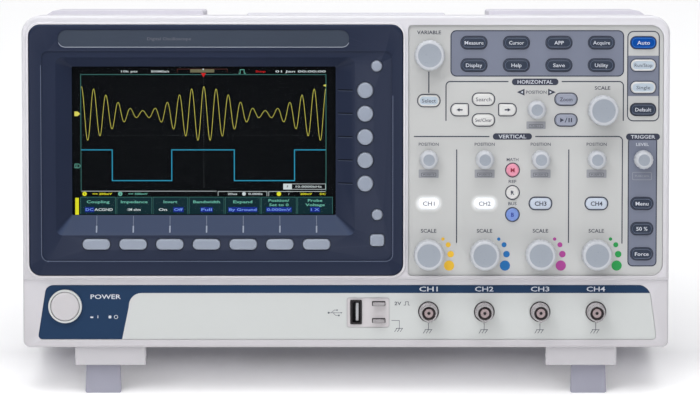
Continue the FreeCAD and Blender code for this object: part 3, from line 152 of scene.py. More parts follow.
def banded(name, axis, bands, rough=0.4, glow=None, spec=0.5):
    """One node with several colours along an axis of the case: bands = [(from mm, rgb)...] in rising order."""
    m = bpy.data.materials.new(name)
    m.use_nodes = True
    nt = m.node_tree
    n, l = nt.nodes, nt.links
    b = n["Principled BSDF"]
    b.inputs["Specular IOR Level"].default_value = spec
    tc = n.new("ShaderNodeTexCoord")
    sep = n.new("ShaderNodeSeparateXYZ")
    l.new(tc.outputs["Object"], sep.inputs["Vector"])
    start, end = bands[0][0], bands[-1][0] + 20.0
    if axis == "X":
        value = sep.outputs["X"]
        lo, hi = start / 1000, end / 1000
    else:
        dot = n.new("ShaderNodeVectorMath")
        dot.operation = "DOT_PRODUCT"
        dot.inputs[1].default_value = (0.0, math.sin(LEAN), math.cos(LEAN))
        off = Vector((0.0, -0.070785, 0.0295856)).dot(Vector((0.0, math.sin(LEAN), math.cos(LEAN))))
        l.new(tc.outputs["Object"], dot.inputs[0])
        value = dot.outputs["Value"]
        lo, hi = start / 1000 + off, end / 1000 + off
    mr = n.new("ShaderNodeMapRange")
    mr.inputs["From Min"].default_value = lo
    mr.inputs["From Max"].default_value = hi
    l.new(value, mr.inputs["Value"])
    ramp = n.new("ShaderNodeValToRGB")
    ramp.color_ramp.interpolation = "CONSTANT"
    els = ramp.color_ramp.elements
    while len(els) < len(bands):
        els.new(0.5)
    for e, (at, rgb) in zip(els, bands):
        e.position = (at - start) / (end - start)
        e.color = (*srgb(*rgb), 1)
    l.new(mr.outputs["Result"], ramp.inputs["Fac"])
    fine = n.new("ShaderNodeTexNoise")
    fine.inputs["Scale"].default_value = 700
    l.new(tc.outputs["Object"], fine.inputs["Vector"])
    tint = n.new("ShaderNodeMix")
    tint.data_type = "RGBA"
    tint.blend_type = "MULTIPLY"
    tint.inputs["Factor"].default_value = 0.06
    l.new(ramp.outputs["Color"], tint.inputs["A"])
    l.new(fine.outputs["Color"], tint.inputs["B"])
    l.new(tint.outputs["Result"], b.inputs["Base Color"])
    rr = n.new("ShaderNodeMapRange")
    rr.inputs["To Min"].default_value = rough - 0.06
    rr.inputs["To Max"].default_value = rough + 0.06
    l.new(fine.outputs["Fac"], rr.inputs["Value"])
    l.new(rr.outputs["Result"], b.inputs["Roughness"])
    if glow:
        gr = n.new("ShaderNodeValToRGB")
        gr.color_ramp.interpolation = "CONSTANT"
        ge = gr.color_ramp.elements
        while len(ge) < len(glow):
            ge.new(0.5)
        for e, (at, v) in zip(ge, glow):
            e.position = (at - start) / (end - start)
            e.color = (v, v, v, 1)
        l.new(mr.outputs["Result"], gr.inputs["Fac"])
        l.new(gr.outputs["Color"], b.inputs["Emission Color"])
        b.inputs["Emission Strength"].default_value = 1.0
    bp = n.new("ShaderNodeBump")
    bp.inputs["Strength"].default_value = 0.04
    bp.inputs["Distance"].default_value = 0.0003
    l.new(fine.outputs["Fac"], bp.inputs["Height"])
    l.new(bp.outputs["Normal"], b.inputs["Normal"])
    MATS[name] = m
    return m


def metal(name, rgb, rough=0.22, brushed=0.0, bump=0.02):
    m = plastic(name, rgb, rough=rough, metal=1.0, grain=1200, bump=bump, vary=0.08, blotch=60)
    return m


def light(name, rgb, strength=1.0, base=(2, 2, 3)):
    """A lit patch of the screen: dark glossy base with its own glow and a faint pixel grid."""
    if name in MATS:
        return MATS[name]
    m = bpy.data.materials.new(name)
    m.use_nodes = True
    nt = m.node_tree
    n, l = nt.nodes, nt.links
    b = n["Principled BSDF"]
    b.inputs["Base Color"].default_value = (*srgb(*base), 1)
    b.inputs["Roughness"].default_value = 0.5
    b.inputs["Specular IOR Level"].default_value = 0.04
    tc = n.new("ShaderNodeTexCoord")
    wave = n.new("ShaderNodeTexWave")
    wave.inputs["Scale"].default_value = 620
    wave.bands_direction = "X"
    l.new(tc.outputs["Object"], wave.inputs["Vector"])
    ramp = n.new("ShaderNodeValToRGB")
    c = srgb(*rgb)
    ramp.color_ramp.elements[0].color = (*[v * 0.93 for v in c], 1)
    ramp.color_ramp.elements[1].color = (*c, 1)
    l.new(wave.outputs["Fac"], ramp.inputs["Fac"])
    l.new(ramp.outputs["Color"], b.inputs["Emission Color"])
    b.inputs["Emission Strength"].default_value = strength
    MATS[name] = m
    return m


NAVY, DARK, SLATE = (52, 58, 78), (46, 54, 72), (128, 131, 152)

# edge_highlight= paints sharp convex edges lighter as a painted highlight; on the case low= paints shade towards the
# foot of the front; on the bezel up= paints a highlight on the slopes that face up
M_CASE = plastic("case_moulding", (212, 211, 216), rough=0.42, grain=1400, bump=0.05, vary=0.012, edge_highlight=0.25, low=(190, 187, 191))
M_COVER = plastic("cover_moulding", (212, 210, 218), rough=0.48, grain=1100, bump=0.09, vary=0.015, edge_highlight=0.2, spec=0.3)
M_BEZEL = plastic("bezel_moulding", (32, 40, 61), rough=0.42, grain=1300, bump=0.05, vary=0.05, edge_highlight=0.35, spec=0.15, up=(48, 61, 88))
M_FASCIA = plastic("fascia_panel", (191, 192, 191), rough=0.5, grain=1500, bump=0.04, vary=0.012)
M_STRIP = plastic("strip_panel", (200, 203, 202), rough=0.5, grain=1500, bump=0.04, vary=0.012)
M_FOOT = plastic("foot_moulding", (193, 191, 195), rough=0.5, grain=1100, bump=0.06, vary=0.02, edge_highlight=0.2)
M_LEG = plastic("leg_moulding", (154, 154, 168), rough=0.45, grain=1100, bump=0.06, vary=0.03, edge_highlight=0.3)
M_HANDLE = plastic("handle_moulding", (200, 199, 207), rough=0.55, grain=700, bump=0.16, vary=0.02, edge_highlight=0.2)
M_INK = plastic("ink_navy", (42, 48, 68), rough=0.55, grain=800, bump=0.0, vary=0.06)
M_INK_SOFT = plastic("ink_grey", (84, 88, 100), rough=0.55, grain=800, bump=0.0, vary=0.05)
M_INK_BOX = plastic("ink_box", (152, 154, 160), rough=0.55, grain=800, bump=0.0, vary=0.05)
M_INK_PALE = plastic("ink_pale", (205, 209, 218), rough=0.55, grain=800, bump=0.0, vary=0.03)
M_SLATE = plastic("ink_slate", (115, 121, 139), rough=0.5, grain=900, bump=0.03, vary=0.04)
M_BAND = plastic("ink_band", (25, 53, 85), rough=0.5, grain=900, bump=0.03, vary=0.05, spec=0.2)
M_RECESS = plastic("bezel_recess", (52, 61, 76), rough=0.35, grain=900, bump=0.03, vary=0.05, spec=0.3)
M_DOTS = [plastic("dot_yellow", (232, 184, 42), vary=0.03), plastic("dot_blue", (0, 104, 172), vary=0.05),
          plastic("dot_magenta", (166, 58, 142), vary=0.05), plastic("dot_green", (22, 152, 72), vary=0.05)]
M_SOFT = plastic("soft_key_face", (143, 151, 166), rough=0.35, grain=900, bump=0.04, vary=0.03)
M_KEYDARK = plastic("key_face_dark", (42, 52, 70), spec=0.35, rough=0.36, grain=900, bump=0.04, vary=0.06)
M_KEYBLUE = plastic("key_face_blue", (0, 70, 152), rough=0.36, grain=900, bump=0.04, vary=0.05, spec=0.12)
M_KEYPALE = plastic("key_face_pale", (180, 193, 205), rough=0.38, grain=900, bump=0.04, vary=0.03)
M_KEYWHITE = plastic("key_face_white", (210, 210, 209), rough=0.4, grain=900, bump=0.04, vary=0.02)
M_KEYSLATE = plastic("key_face_slate", (146, 151, 167), rough=0.4, grain=900, bump=0.04, vary=0.03)
M_KNOB = plastic("knob_side", (189, 192, 198), rough=0.38, grain=1000, bump=0.05, vary=0.03)
M_KNOBCAP = plastic("knob_face", (152, 159, 169), rough=0.3, grain=1000, bump=0.03, vary=0.04)
M_POWER = plastic("power_face", (196, 193, 196), rough=0.4, grain=900, bump=0.04, vary=0.02)
M_NICKEL = plastic("nickel", (206, 202, 204), rough=0.24, metal=0.6, grain=1200, bump=0.02, vary=0.06, blotch=60)
M_STEEL = metal("sheet_steel", (178, 180, 184), rough=0.35)
M_PORT = metal("port_shell", (70, 68, 72), rough=0.4)
M_SCREW = metal("screw_steel", (120, 121, 124), rough=0.35)
M_GOLD = metal("gold", (214, 178, 96), rough=0.25)
M_PTFE = plastic("insulator", (168, 150, 152), rough=0.5, vary=0.03)
M_BLACK = plastic("black_moulding", (24, 24, 27), rough=0.45, vary=0.12, bump=0.08)
M_HOLE = plastic("dark_hole", (12, 11, 13), rough=0.8, vary=0.1)
M_BOARD = plastic("board_green", (18, 92, 48), rough=0.4, vary=0.12, blotch=40)
M_LCD = light("screen_black", (3, 4, 5), 0.6)

M_CHKEY = banded("channel_key_faces", "X", [(30, (230, 232, 237)), (99.0, (194, 203, 217))], rough=0.4,
                 glow=[(30, 0.26), (99.0, 0.0)])
M_MRB = banded("round_key_faces", "Z", [(70, (120, 146, 210)), (86, (214, 213, 212)), (99, (226, 148, 170))])

glass = bpy.data.materials.new("window_glass")
glass.use_nodes = True
_n, _l = glass.node_tree.nodes, glass.node_tree.links
_b = _n["Principled BSDF"]
_b.inputs["Base Color"].default_value = (0.02, 0.025, 0.03, 1)
_b.inputs["Alpha"].default_value = 0.05
_b.inputs["Specular IOR Level"].default_value = 0.08
_b.inputs["IOR"].default_value = 1.49
_tc = _n.new("ShaderNodeTexCoord")
_ns = _n.new("ShaderNodeTexNoise")
_ns.inputs["Scale"].default_value = 30
_l.new(_tc.outputs["Object"], _ns.inputs["Vector"])
_mr = _n.new("ShaderNodeMapRange")
_mr.inputs["To Min"].default_value = 0.05
_mr.inputs["To Max"].default_value = 0.12
_l.new(_ns.outputs["Fac"], _mr.inputs["Value"])
_l.new(_mr.outputs["Result"], _b.inputs["Roughness"])
MATS["window_glass"] = glass

for node, mat in {
    "front_frame": M_CASE, "rear_cover": M_COVER, "display_bezel": M_BEZEL, "display_window": glass, "lcd_module": M_LCD,
    "control_fascia": M_FASCIA, "input_fascia": M_STRIP, "chassis": M_STEEL, "main_board": M_BOARD, "keypad_board": M_BOARD,
    "power_supply": M_BOARD, "frontend_shield": M_STEEL, "input_connectors": M_NICKEL, "contact_inserts": M_PTFE,
    "usb_host_port": M_PORT, "probe_terminals": M_NICKEL, "ac_inlet": M_BLACK, "usb_device_port": M_STEEL,
    "trigger_out_connector": M_NICKEL, "fan_frame": M_BLACK, "fan_rotor": M_BLACK, "rear_feet": M_FOOT, "foot_blocks": M_FOOT,
    "case_screws": M_SCREW, "hinge_pins": M_SCREW, "encoders": M_BLACK, "power_switch": M_BLACK, "handle": M_HANDLE,
    "tilt_leg_left": M_LEG, "tilt_leg_right": M_LEG, "power_button": M_POWER,
}.items():
    me = NODES[node].data
    me.materials.clear()
    me.materials.append(mat)


# ---------------------------------------------------------------- mesh helpers
def make(name, verts, faces, mats, body, face_mats=None, smooth=None):
    me = bpy.data.meshes.new(name)
    me.from_pydata([CASE @ Vector(v) for v in verts], [], faces)
    for m in mats:
        me.materials.append(m)
    if face_mats:
        for p, k in zip(me.polygons, face_mats):
            p.material_index = k
    if smooth is not None:
        me.shade_smooth() if smooth is True else None
        if smooth is not True:
            for p in me.polygons:
                p.use_smooth = True
            me.set_sharp_from_angle(angle=math.radians(smooth))
    me.validate()
    ob = bpy.data.objects.new(name, me)
    bpy.context.scene.collection.objects.link(ob)
    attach(ob, body)
    return ob


def circle(cx, cz, r, n=36):
    return [(cx + r * math.cos(2 * math.pi * i / n), cz + r * math.sin(2 * math.pi * i / n)) for i in range(n)]


def arc(cx, cz, r, a0, a1, n=8):
    return [(cx + r * math.cos(math.radians(a0 + (a1 - a0) * i / n)), cz + r * math.sin(math.radians(a0 + (a1 - a0) * i / n)))
            for i in range(n + 1)]


def rrect(cx, cz, w, h, r, n=6):
    r = min(r, w / 2 - 1e-3, h / 2 - 1e-3)
    x0, x1, z0, z1 = cx - w / 2, cx + w / 2, cz - h / 2, cz + h / 2
    return (arc(x1 - r, z0 + r, r, -90, 0, n) + arc(x1 - r, z1 - r, r, 0, 90, n) + arc(x0 + r, z1 - r, r, 90, 180, n)
            + arc(x0 + r, z0 + r, r, 180, 270, n))


def rpoly(pts, n=6):
    """A polygon with a radius at each corner: [(x, z, r)]."""
    out = []
    k = len(pts)
    for i in range(k):
        p = Vector(pts[i][:2])
        a = Vector(pts[i - 1][:2])
        b = Vector(pts[(i + 1) % k][:2])
        r = pts[i][2]
        if r <= 0:
            out.append(tuple(p))
            continue
        u, w = (a - p).normalized(), (b - p).normalized()
        half = u.angle(w) / 2
        t = r / math.tan(half)
        s, e = p + u * t, p + w * t
        c = p + (u + w).normalized() * (r / math.sin(half))
        a0, a1 = math.atan2(*(s - c).yx), math.atan2(*(e - c).yx)
        d = (a1 - a0 + math.pi) % (2 * math.pi) - math.pi
        for q in range(n + 1):
            an = a0 + d * q / n
            out.append((c.x + r * math.cos(an), c.y + r * math.sin(an)))
    return out


class Print:
    """Flat inks on a surface: shapes are gathered and made into one object."""

    def __init__(self, level):
        self.v, self.f, self.m, self.mats, self.level = [], [], [], [], level

    def _mat(self, mat):
        if mat not in self.mats:
            self.mats.append(mat)
        return self.mats.index(mat)

    def fill(self, pts, mat, lift=0.05, at=None):
        k = len(self.v)
        place = at or (lambda x, z: self.level)
        self.v += [(x, place(x, z) - lift, z) for x, z in pts]
        self.f.append(list(range(k, k + len(pts))))
        self.m.append(self._mat(mat))

    def fill_holed(self, outer, holes, mat, lift=0.05):
        """A filled outline with openings cut out of it."""
        loops = [[Vector((x, z, 0.0)) for x, z in loop] for loop in [outer] + holes]
        flat = [q for loop in loops for q in loop]
        k = len(self.v)
        self.v += [(q.x, self.level - lift, q.y) for q in flat]
        for t in tessellate_polygon(loops):
            a, b, c = (flat[i] for i in t)
            if (b - a).cross(c - a).z < 0:
                t = t[::-1]
            self.f.append([k + i for i in t])
            self.m.append(self._mat(mat))

    def ring(self, outer, inner, mat, lift=0.05):
        k, n = len(self.v), len(outer)
        self.v += [(x, self.level - lift, z) for x, z in outer] + [(x, self.level - lift, z) for x, z in inner]
        for i in range(n):
            j = (i + 1) % n
            self.f.append([k + i, k + j, k + n + j, k + n + i])
            self.m.append(self._mat(mat))

    def line(self, pts, width, mat, lift=0.05, at=None, closed=False):
        n = len(pts)
        k = len(self.v)
        place = at or (lambda x, z: self.level)
        ps = [Vector(p) for p in pts]
        for i, p in enumerate(ps):
            a = ps[i - 1] if (i > 0 or closed) else None
            b = ps[(i + 1) % n] if (i < n - 1 or closed) else None
            da = (p - a).normalized() if a is not None else None
            db = (b - p).normalized() if b is not None else None
            d = da if db is None else db if da is None else (da + db)
            if d.length < 1e-6:
                d = da
            d = d.normalized()
            s = 1.0
            if da is not None and db is not None:
                s = 1.0 / max(0.35, abs(d.dot(da)))
            q = Vector((-d.y, d.x)) * (width / 2 * s)
            self.v += [(p.x + q.x, place(p.x, p.y) - lift, p.y + q.y), (p.x - q.x, place(p.x, p.y) - lift, p.y - q.y)]
        for i in range(n if closed else n - 1):
            a, b = k + 2 * i, k + 2 * ((i + 1) % n)
            self.f.append([a, a + 1, b + 1, b])
            self.m.append(self._mat(mat))

    def text(self, cx, cz, words, cap, mat, width=None, lift=0.06, bold=0.012, align="c", slant=0.0, at=None):
        cu = bpy.data.curves.new("t", "FONT")
        cu.body = words
        cu.size = 1.0
        cu.offset = bold
        cu.resolution_u = 2
        cu.align_x = "LEFT"
        ob = bpy.data.objects.new("t", cu)
        bpy.context.scene.collection.objects.link(ob)
        bpy.context.view_layer.update()
        me = bpy.data.meshes.new_from_object(ob)
        bpy.data.objects.remove(ob)
        if len(me.vertices) == 0:
            return
        xs = [v.co.x for v in me.vertices]
        x0, x1 = min(xs), max(xs)
        s = cap / 0.69
        sx = s if width is None else width / (x1 - x0)
        off = {"c": -(x0 + x1) / 2, "l": -x0, "r": -x1}[align]
        k = len(self.v)
        place = at or (lambda x, z: self.level)
        for v in me.vertices:
            x = cx + (v.co.x + off) * sx + slant * v.co.y * s
            z = cz + (v.co.y - 0.345) * s
            self.v.append((x, place(x, z) - lift, z))
        mi = self._mat(mat)
        for p in me.polygons:
            self.f.append([k + i for i in p.vertices])
            self.m.append(mi)
        bpy.data.meshes.remove(me)

    def done(self, name, body):
        return make(name, self.v, self.f, self.mats, body, self.m)


def loft(shape, steps, v, f, m, mats, crown=None):
    """Closed solid through outlines shape(g) at depth y: steps = [(g, y, material index of the band that follows)]."""
    loops = []
    for g, y, _ in steps:
        pts = shape(g)
        loops.append(len(v))
        v += [(x, y, z) for x, z in pts]
        n = len(pts)
    for i in range(len(steps) - 1):
        a, b = loops[i], loops[i + 1]
        for k in range(n):
            q = (k + 1) % n
            f.append([a + k, a + q, b + q, b + k])
            m.append(steps[i][2])
    # back and front closed by fans round a middle point
    for base, y, flip, mi in ((loops[0], steps[0][1], False, steps[0][2]), (loops[-1], steps[-1][1] if crown is None else crown, True, steps[-1][2])):
        c = len(v)
        px = sum(v[base + k][0] for k in range(n)) / n
        pz = sum(v[base + k][2] for k in range(n)) / n
        v.append((px, y, pz))
        for k in range(n):
            q = (k + 1) % n
            f.append([base + k, base + q, c] if flip else [base + q, base + k, c])
            m.append(mi)


def key_bank(name, shapes, front, back, skirt, mats, slot, style="dome", legends=None, body=None):
    """The keys of one bank as moulded caps with a skirt; each stands for its CAD node."""
    v, f, m = [], [], []
    for i, shape in enumerate(shapes):
        s = [(-1.0, back, 0), (-1.0, skirt + 0.05, 0), (0.0, skirt, 0), (0.0, front + 1.2, 0), (0.08, front + 0.74, 0),
             (0.26, front + 0.4, 0), (0.55, front + 0.18, 0)]
        if style == "rim":
            s += [(0.75, front + 0.06, 0), (0.95, front + 0.12, 1), (1.15, front + 0.3, 1), (1.6, front + 0.3, 1), (2.6, front + 0.22, 1)]
            crown = front + 0.2
        elif style == "dish":
            s += [(0.9, front + 0.02, 1), (1.4, front + 0.08, 1), (2.2, front + 0.2, 1)]
            crown = front + 0.26
        else:
            s += [(1.0, front + 0.07, 1), (1.7, front + 0.02, 1), (2.4, front, 1)]
            crown = front
        loft(shape, s, v, f, m, mats, crown)
    ob = make(name + "_caps", v, f, mats, body or name, m, smooth=40)
    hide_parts(name)
    return ob


def shape_rr(cx, cz, w, h, r):
    return lambda g: rrect(cx, cz, w - 2 * g, h - 2 * g, max(0.12, r - g))


def shape_c(cx, cz, r):
    return lambda g: circle(cx, cz, max(0.2, r - g), 32)


def shape_arrow(x, z, left):
    def s(g):
        a, b = (3.0, 0.9) if left else (0.9, 3.0)
        k = lambda q: max(0.1, q - g)
        return rpoly([(x - 4.95 + g, z - 3.35 + g, k(a)), (x + 4.95 - g, z - 3.35 + g, k(b)),
                      (x + 4.95 - g, z + 3.35 - g, k(b)), (x - 4.95 + g, z + 3.35 - g, k(a))])
    return s


# ---------------------------------------------------------------- keys
MENU = [(-148.05 + 21.78 * i, 61.7) for i in range(7)]
SIDE = [(11.5, 97.8 + 13.83 * i) for i in range(5)]
OPTION, MENU_OFF, COPY = (18.25, 167.5), (18.6, 79.3), (18.6, 64.1)
FKEYS = [(75.9 + 25.15 * i, z) for z in (181.3, 168.0) for i in range(4)]
AUTO_X = 176.2
AUTO = {"autoset_key": 181.3, "run_stop_key": 168.0, "single_key": 154.8, "default_key": 141.7}
SELECT = (49.2, 147.0)
SEARCH = [(81.6, 147.8), (81.6, 135.5)]
ARROWS = [(67.5, 141.6), (95.8, 141.6)]
ZOOM = [(130.5, 147.8), (130.5, 135.5)]
MRB = [(98.95, 105.8), (98.95, 92.4), (98.95, 79.3)]
TRIG = [(175.8, 85.9), (175.8, 70.9), (175.8, 55.9)]
FW, FH, KW, KH = 14.7, 6.7, 12.7, 6.7
FR, KR = FH * 0.46, KH * 0.46
CTRL = (KEY_Y, 4.8, 3.95)
SOFTL = (SOFT_Y, 4.95, 4.15)

key_bank("menu_keys", [shape_rr(x, z, 16.4, 6.4, 6.4 * 0.46) for x, z in MENU], *SOFTL, [M_SOFT, M_SOFT], "soft_key_grey")
key_bank("side_menu_keys", [shape_c(x, z, 4.7) for x, z in SIDE], *SOFTL, [M_SOFT, M_SOFT], "soft_key_grey")
key_bank("option_key", [shape_c(*OPTION, 3.25)], *SOFTL, [M_SOFT, M_SOFT], "soft_key_grey")
key_bank("menu_off_key", [shape_c(*MENU_OFF, 3.25)], *SOFTL, [M_SOFT, M_SOFT], "soft_key_grey")
key_bank("hardcopy_key", [shape_rr(*COPY, 8.6, 7.1, 2.0)], *SOFTL, [M_SOFT, M_SOFT], "soft_key_grey")
key_bank("function_keys", [shape_rr(x, z, FW, FH, FR) for x, z in FKEYS], *CTRL, [M_KEYDARK, M_KEYDARK], "key_dark", "rim")
key_bank("autoset_key", [shape_rr(AUTO_X, AUTO["autoset_key"], FW, FH, FR)], *CTRL, [M_KEYBLUE, M_KEYBLUE], "key_blue", "rim")
key_bank("run_stop_key", [shape_rr(AUTO_X, AUTO["run_stop_key"], FW, FH, FR)], *CTRL, [M_KEYWHITE, M_KEYPALE], "key_pale", "rim")
key_bank("single_key", [shape_rr(AUTO_X, AUTO["single_key"], FW, FH, FR)], *CTRL, [M_KEYWHITE, M_KEYPALE], "key_pale", "rim")
key_bank("default_key", [shape_rr(AUTO_X, AUTO["default_key"], FW, FH, FR)], *CTRL, [M_KEYDARK, M_KEYDARK], "key_dark", "rim")
key_bank("select_key", [shape_rr(*SELECT, KW, KH, KR)], *CTRL, [M_KEYWHITE, M_KEYPALE], "key_pale", "rim")
key_bank("search_keys", [shape_rr(x, z, KW, KH, KR) for x, z in SEARCH], *CTRL, [M_KEYWHITE, M_KEYWHITE], "key_white")
key_bank("arrow_keys", [shape_arrow(*ARROWS[0], True), shape_arrow(*ARROWS[1], False)], *CTRL, [M_KEYWHITE, M_KEYWHITE], "key_white")
key_bank("zoom_play_keys", [shape_rr(x, z, KW, KH, KR) for x, z in ZOOM], *CTRL, [M_KEYSLATE, M_KEYSLATE], "key_slate", "rim")
key_bank("channel_keys", [shape_rr(x, CHKEY_Z, KW, KH, KR) for x in CHX], *CTRL, [M_CHKEY, M_CHKEY], "key_lit")
key_bank("math_ref_bus_keys", [shape_c(x, z, 3.8) for x, z in MRB], *CTRL, [M_MRB, M_MRB], "key_pale", "rim")
key_bank("trigger_keys", [shape_rr(x, z, KW, KH, KR) for x, z in TRIG], *CTRL, [M_KEYDARK, M_KEYDARK], "key_dark", "rim")


# painted highlight: a pale ring on the face of each rimmed key, where the raised rim catches the light
M_RIM_HIGHLIGHT = plastic("key_rim_highlight", (88, 98, 119), rough=0.4, grain=900, vary=0.04)
M_RIM_HIGHLIGHT_BLUE = plastic("key_rim_highlight_blue", (40, 112, 190), rough=0.4, grain=900, vary=0.04)


def legend(name, rows, level=KEY_Y, extra=None, body=None, rim_highlights=(), rim_highlight_mat=None):
    p = Print(level)
    # painted highlight ring inside the rim of each listed key
    for shape in rim_highlights:
        p.ring(shape(0.58), shape(0.84), rim_highlight_mat or M_RIM_HIGHLIGHT, -0.03)
    for x, z, words, cap, mat, width, bold, lift in rows:
        p.text(x, z, words, cap, mat, width=width, bold=bold, lift=lift)
    if extra:
        extra(p)
    p.done(name + "_legends", body or name)


RIM = -0.17   # the legend sits on the dished face of a rimmed key
legend("function_keys", [(x, z, t, 2.1, M_INK_PALE, w, 0.006, RIM) for (x, z), t, w in zip(
    FKEYS, ["Measure", "Cursor", "APP", "Acquire", "Display", "Help", "Save", "Utility"], [11.2, 8.8, 5.6, 10.0, 9.6, 6.0, 7.0, 7.8])], rim_highlights=[shape_rr(x, z, FW, FH, FR) for x, z in FKEYS])
legend("autoset_key", [(AUTO_X, AUTO["autoset_key"], "Auto", 2.2, M_INK_PALE, 7.6, 0.008, RIM)],
       rim_highlights=[shape_rr(AUTO_X, AUTO["autoset_key"], FW, FH, FR)], rim_highlight_mat=M_RIM_HIGHLIGHT_BLUE)
legend("run_stop_key", [(AUTO_X, AUTO["run_stop_key"], "Run/Stop", 2.0, M_INK_SOFT, 10.6, 0.006, RIM)])
legend("single_key", [(AUTO_X, AUTO["single_key"], "Single", 2.0, M_INK_SOFT, 8.2, 0.006, RIM)])
legend("default_key", [(AUTO_X, AUTO["default_key"], "Default", 2.1, M_INK_PALE, 9.4, 0.006, RIM)],
       rim_highlights=[shape_rr(AUTO_X, AUTO["default_key"], FW, FH, FR)])
legend("select_key", [(*SELECT, "Select", 2.2, M_INK_SOFT, 8.2, 0.006, RIM)])
legend("search_keys", [(*SEARCH[0], "Search", 2.2, M_INK, 9.2, 0.004, 0.03), (*SEARCH[1], "Set/Clear", 2.0, M_INK, 9.8, 0.004, 0.03)])
legend("zoom_play_keys", [(*ZOOM[0], "Zoom", 2.2, M_INK, 7.4, 0.006, RIM)],
       extra=lambda p: (p.fill([(127.0, 134.2), (129.4, 135.5), (127.0, 136.8)], M_INK, RIM),
                        p.line([(129.9, 134.1), (131.1, 136.9)], 0.45, M_INK, RIM),
                        p.fill(rrect(132.3, 135.5, 0.7, 2.5, 0.1), M_INK, RIM), p.fill(rrect(133.7, 135.5, 0.7, 2.5, 0.1), M_INK, RIM)))


def arrows(p):
    for x, d in ((67.5, -1), (95.8, 1)):
        z = 141.6
        p.fill([(x + d * 1.9, z), (x + d * 0.1, z + 1.05), (x + d * 0.1, z - 1.05)], M_INK, 0.03)
        p.fill([(x + d * 0.2, z + 0.4), (x - d * 1.7, z + 0.4), (x - d * 1.7, z - 0.4), (x + d * 0.2, z - 0.4)], M_INK, 0.03)


legend("arrow_keys", [], extra=arrows)
legend("channel_keys", [(x, CHKEY_Z, f"CH{i + 1}", 2.5, M_INK if i > 1 else M_INK_SOFT, 7.0, 0.02 if i > 1 else 0.01, 0.03) for i, x in enumerate(CHX)])
legend("math_ref_bus_keys", [(98.95, 105.8, "M", 2.3, plastic("ink_red", (150, 30, 60)), None, 0.03, RIM),
                             (98.95, 92.4, "R", 2.3, M_INK, None, 0.03, RIM), (98.95, 79.3, "B", 2.3, plastic("ink_blue", (38, 58, 150)), None, 0.03, RIM)])
legend("trigger_keys", [(*TRIG[0], "Menu", 2.2, M_INK_PALE, 7.6, 0.008, RIM), (*TRIG[1], "50 %", 2.2, M_INK_PALE, 6.6, 0.008, RIM),
                        (*TRIG[2], "Force", 2.1, M_INK_PALE, 8.2, 0.008, RIM)],
       rim_highlights=[shape_rr(x, z, KW, KH, KR) for x, z in TRIG])


# ---------------------------------------------------------------- knobs
def knob(node, cx, cz, big):
    """A turned cap with a ribbed side, a soft shoulder and a dished face, on its shaft."""
    if big:
        grow, front, n, amp = 9.0 / 8.7, -11.6, 22, 0.34
        prof = [(0.0, 0.34, 0, 1), (2.5, 0.32, 0, 1), (4.6, 0.27, 0, 1), (6.2, 0.2, 0, 1), (6.7, 0.12, 0, 0), (7.1, 0.02, 0, 0), (7.6, 0.06, 0.15, 0),
                (8.1, 0.32, 0.5, 0), (8.45, 0.8, 1, 0), (8.62, 1.5, 1, 0), (8.66, 3.0, 1, 0), (8.68, 6.0, 1, 0), (8.7, 9.5, 1, 0), (8.7, 11.6, 0.8, 0),
                (8.55, 12.2, 0.2, 0), (8.1, 12.5, 0, 0), (3.0, 12.5, 0, 0), (3.0, 19.2, 0, 0)]
    else:
        grow, front, n, amp = 5.6 / 5.3, -9.4, 16, 0.24
        prof = [(0.0, 0.2, 0, 1), (1.6, 0.18, 0, 1), (2.9, 0.1, 0, 1), (3.25, 0.04, 0, 0), (3.6, 0.1, 0, 0), (4.1, 0.5, 0.2, 0), (4.65, 1.15, 0.6, 0),
                (5.05, 1.9, 1, 0), (5.2, 2.8, 1, 0), (5.26, 5.0, 1, 0), (5.3, 8.6, 1, 0), (5.2, 9.9, 0.3, 0), (4.9, 10.3, 0, 0), (3.0, 10.3, 0, 0), (3.0, 17.0, 0, 0)]
    seg = n * 6
    v, f, m = [], [], []
    rings = []
    for r, d, w, k in prof:
        if r == 0.0:
            rings.append((len(v), 1))
            v.append((cx, front + d, cz))
            continue
        rings.append((len(v), seg))
        for i in range(seg):
            a = 2 * math.pi * i / seg
            rr = r * (grow if d < 12.9 and r > 3.0 else 1.0) - amp * w * (0.5 - 0.5 * math.cos(n * a)) ** 2
            v.append((cx + rr * math.cos(a), front + d, cz + rr * math.sin(a)))
    for q in range(len(prof) - 1):
        (a, na), (b, nb) = rings[q], rings[q + 1]
        mi = prof[q][3]
        for i in range(seg):
            j = (i + 1) % seg
            if na == 1:
                f.append([a, b + j, b + i])
            else:
                f.append([a + i, a + j, b + j, b + i])
            m.append(mi)
    end = rings[-1][0]
    f.append([end + i for i in range(seg)])
    m.append(0)
    ob = make(node + "_cap", v, f, [M_KNOB, M_KNOBCAP], node, m, smooth=32)
    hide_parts(node)
    return ob


knob("variable_knob", 49.5, 174.0, True)
knob("horizontal_scale_knob", 152.2, 141.4, True)
knob("horizontal_position_knob", 113.0, 141.8, False)
knob("trigger_level_knob", 176.3, POS_Z, False)
for i, x in enumerate(CHX):
    knob(f"ch{i + 1}_scale_knob", x, SCALE_Z, True)
    knob(f"ch{i + 1}_position_knob", x, POS_Z, False)

# ---------------------------------------------------------------- print on the control fascia
p = Print(FASCIA_Y)
LW = 0.64
p.fill(rrect(113.4, 174.97, 102.2, 26.85, 3.2), M_SLATE)
p.line(rrect(113.4, 174.97, 102.2, 26.85, 3.2), LW, M_INK, 0.07, closed=True)
p.fill([(167.2, 149.7), (185.4, 149.7), (185.4, 173.6), (167.2, 173.6)], M_SLATE)
p.line(rrect(176.3, 161.5, 18.6, 53.0, 3.4), LW, M_INK, 0.07, closed=True)
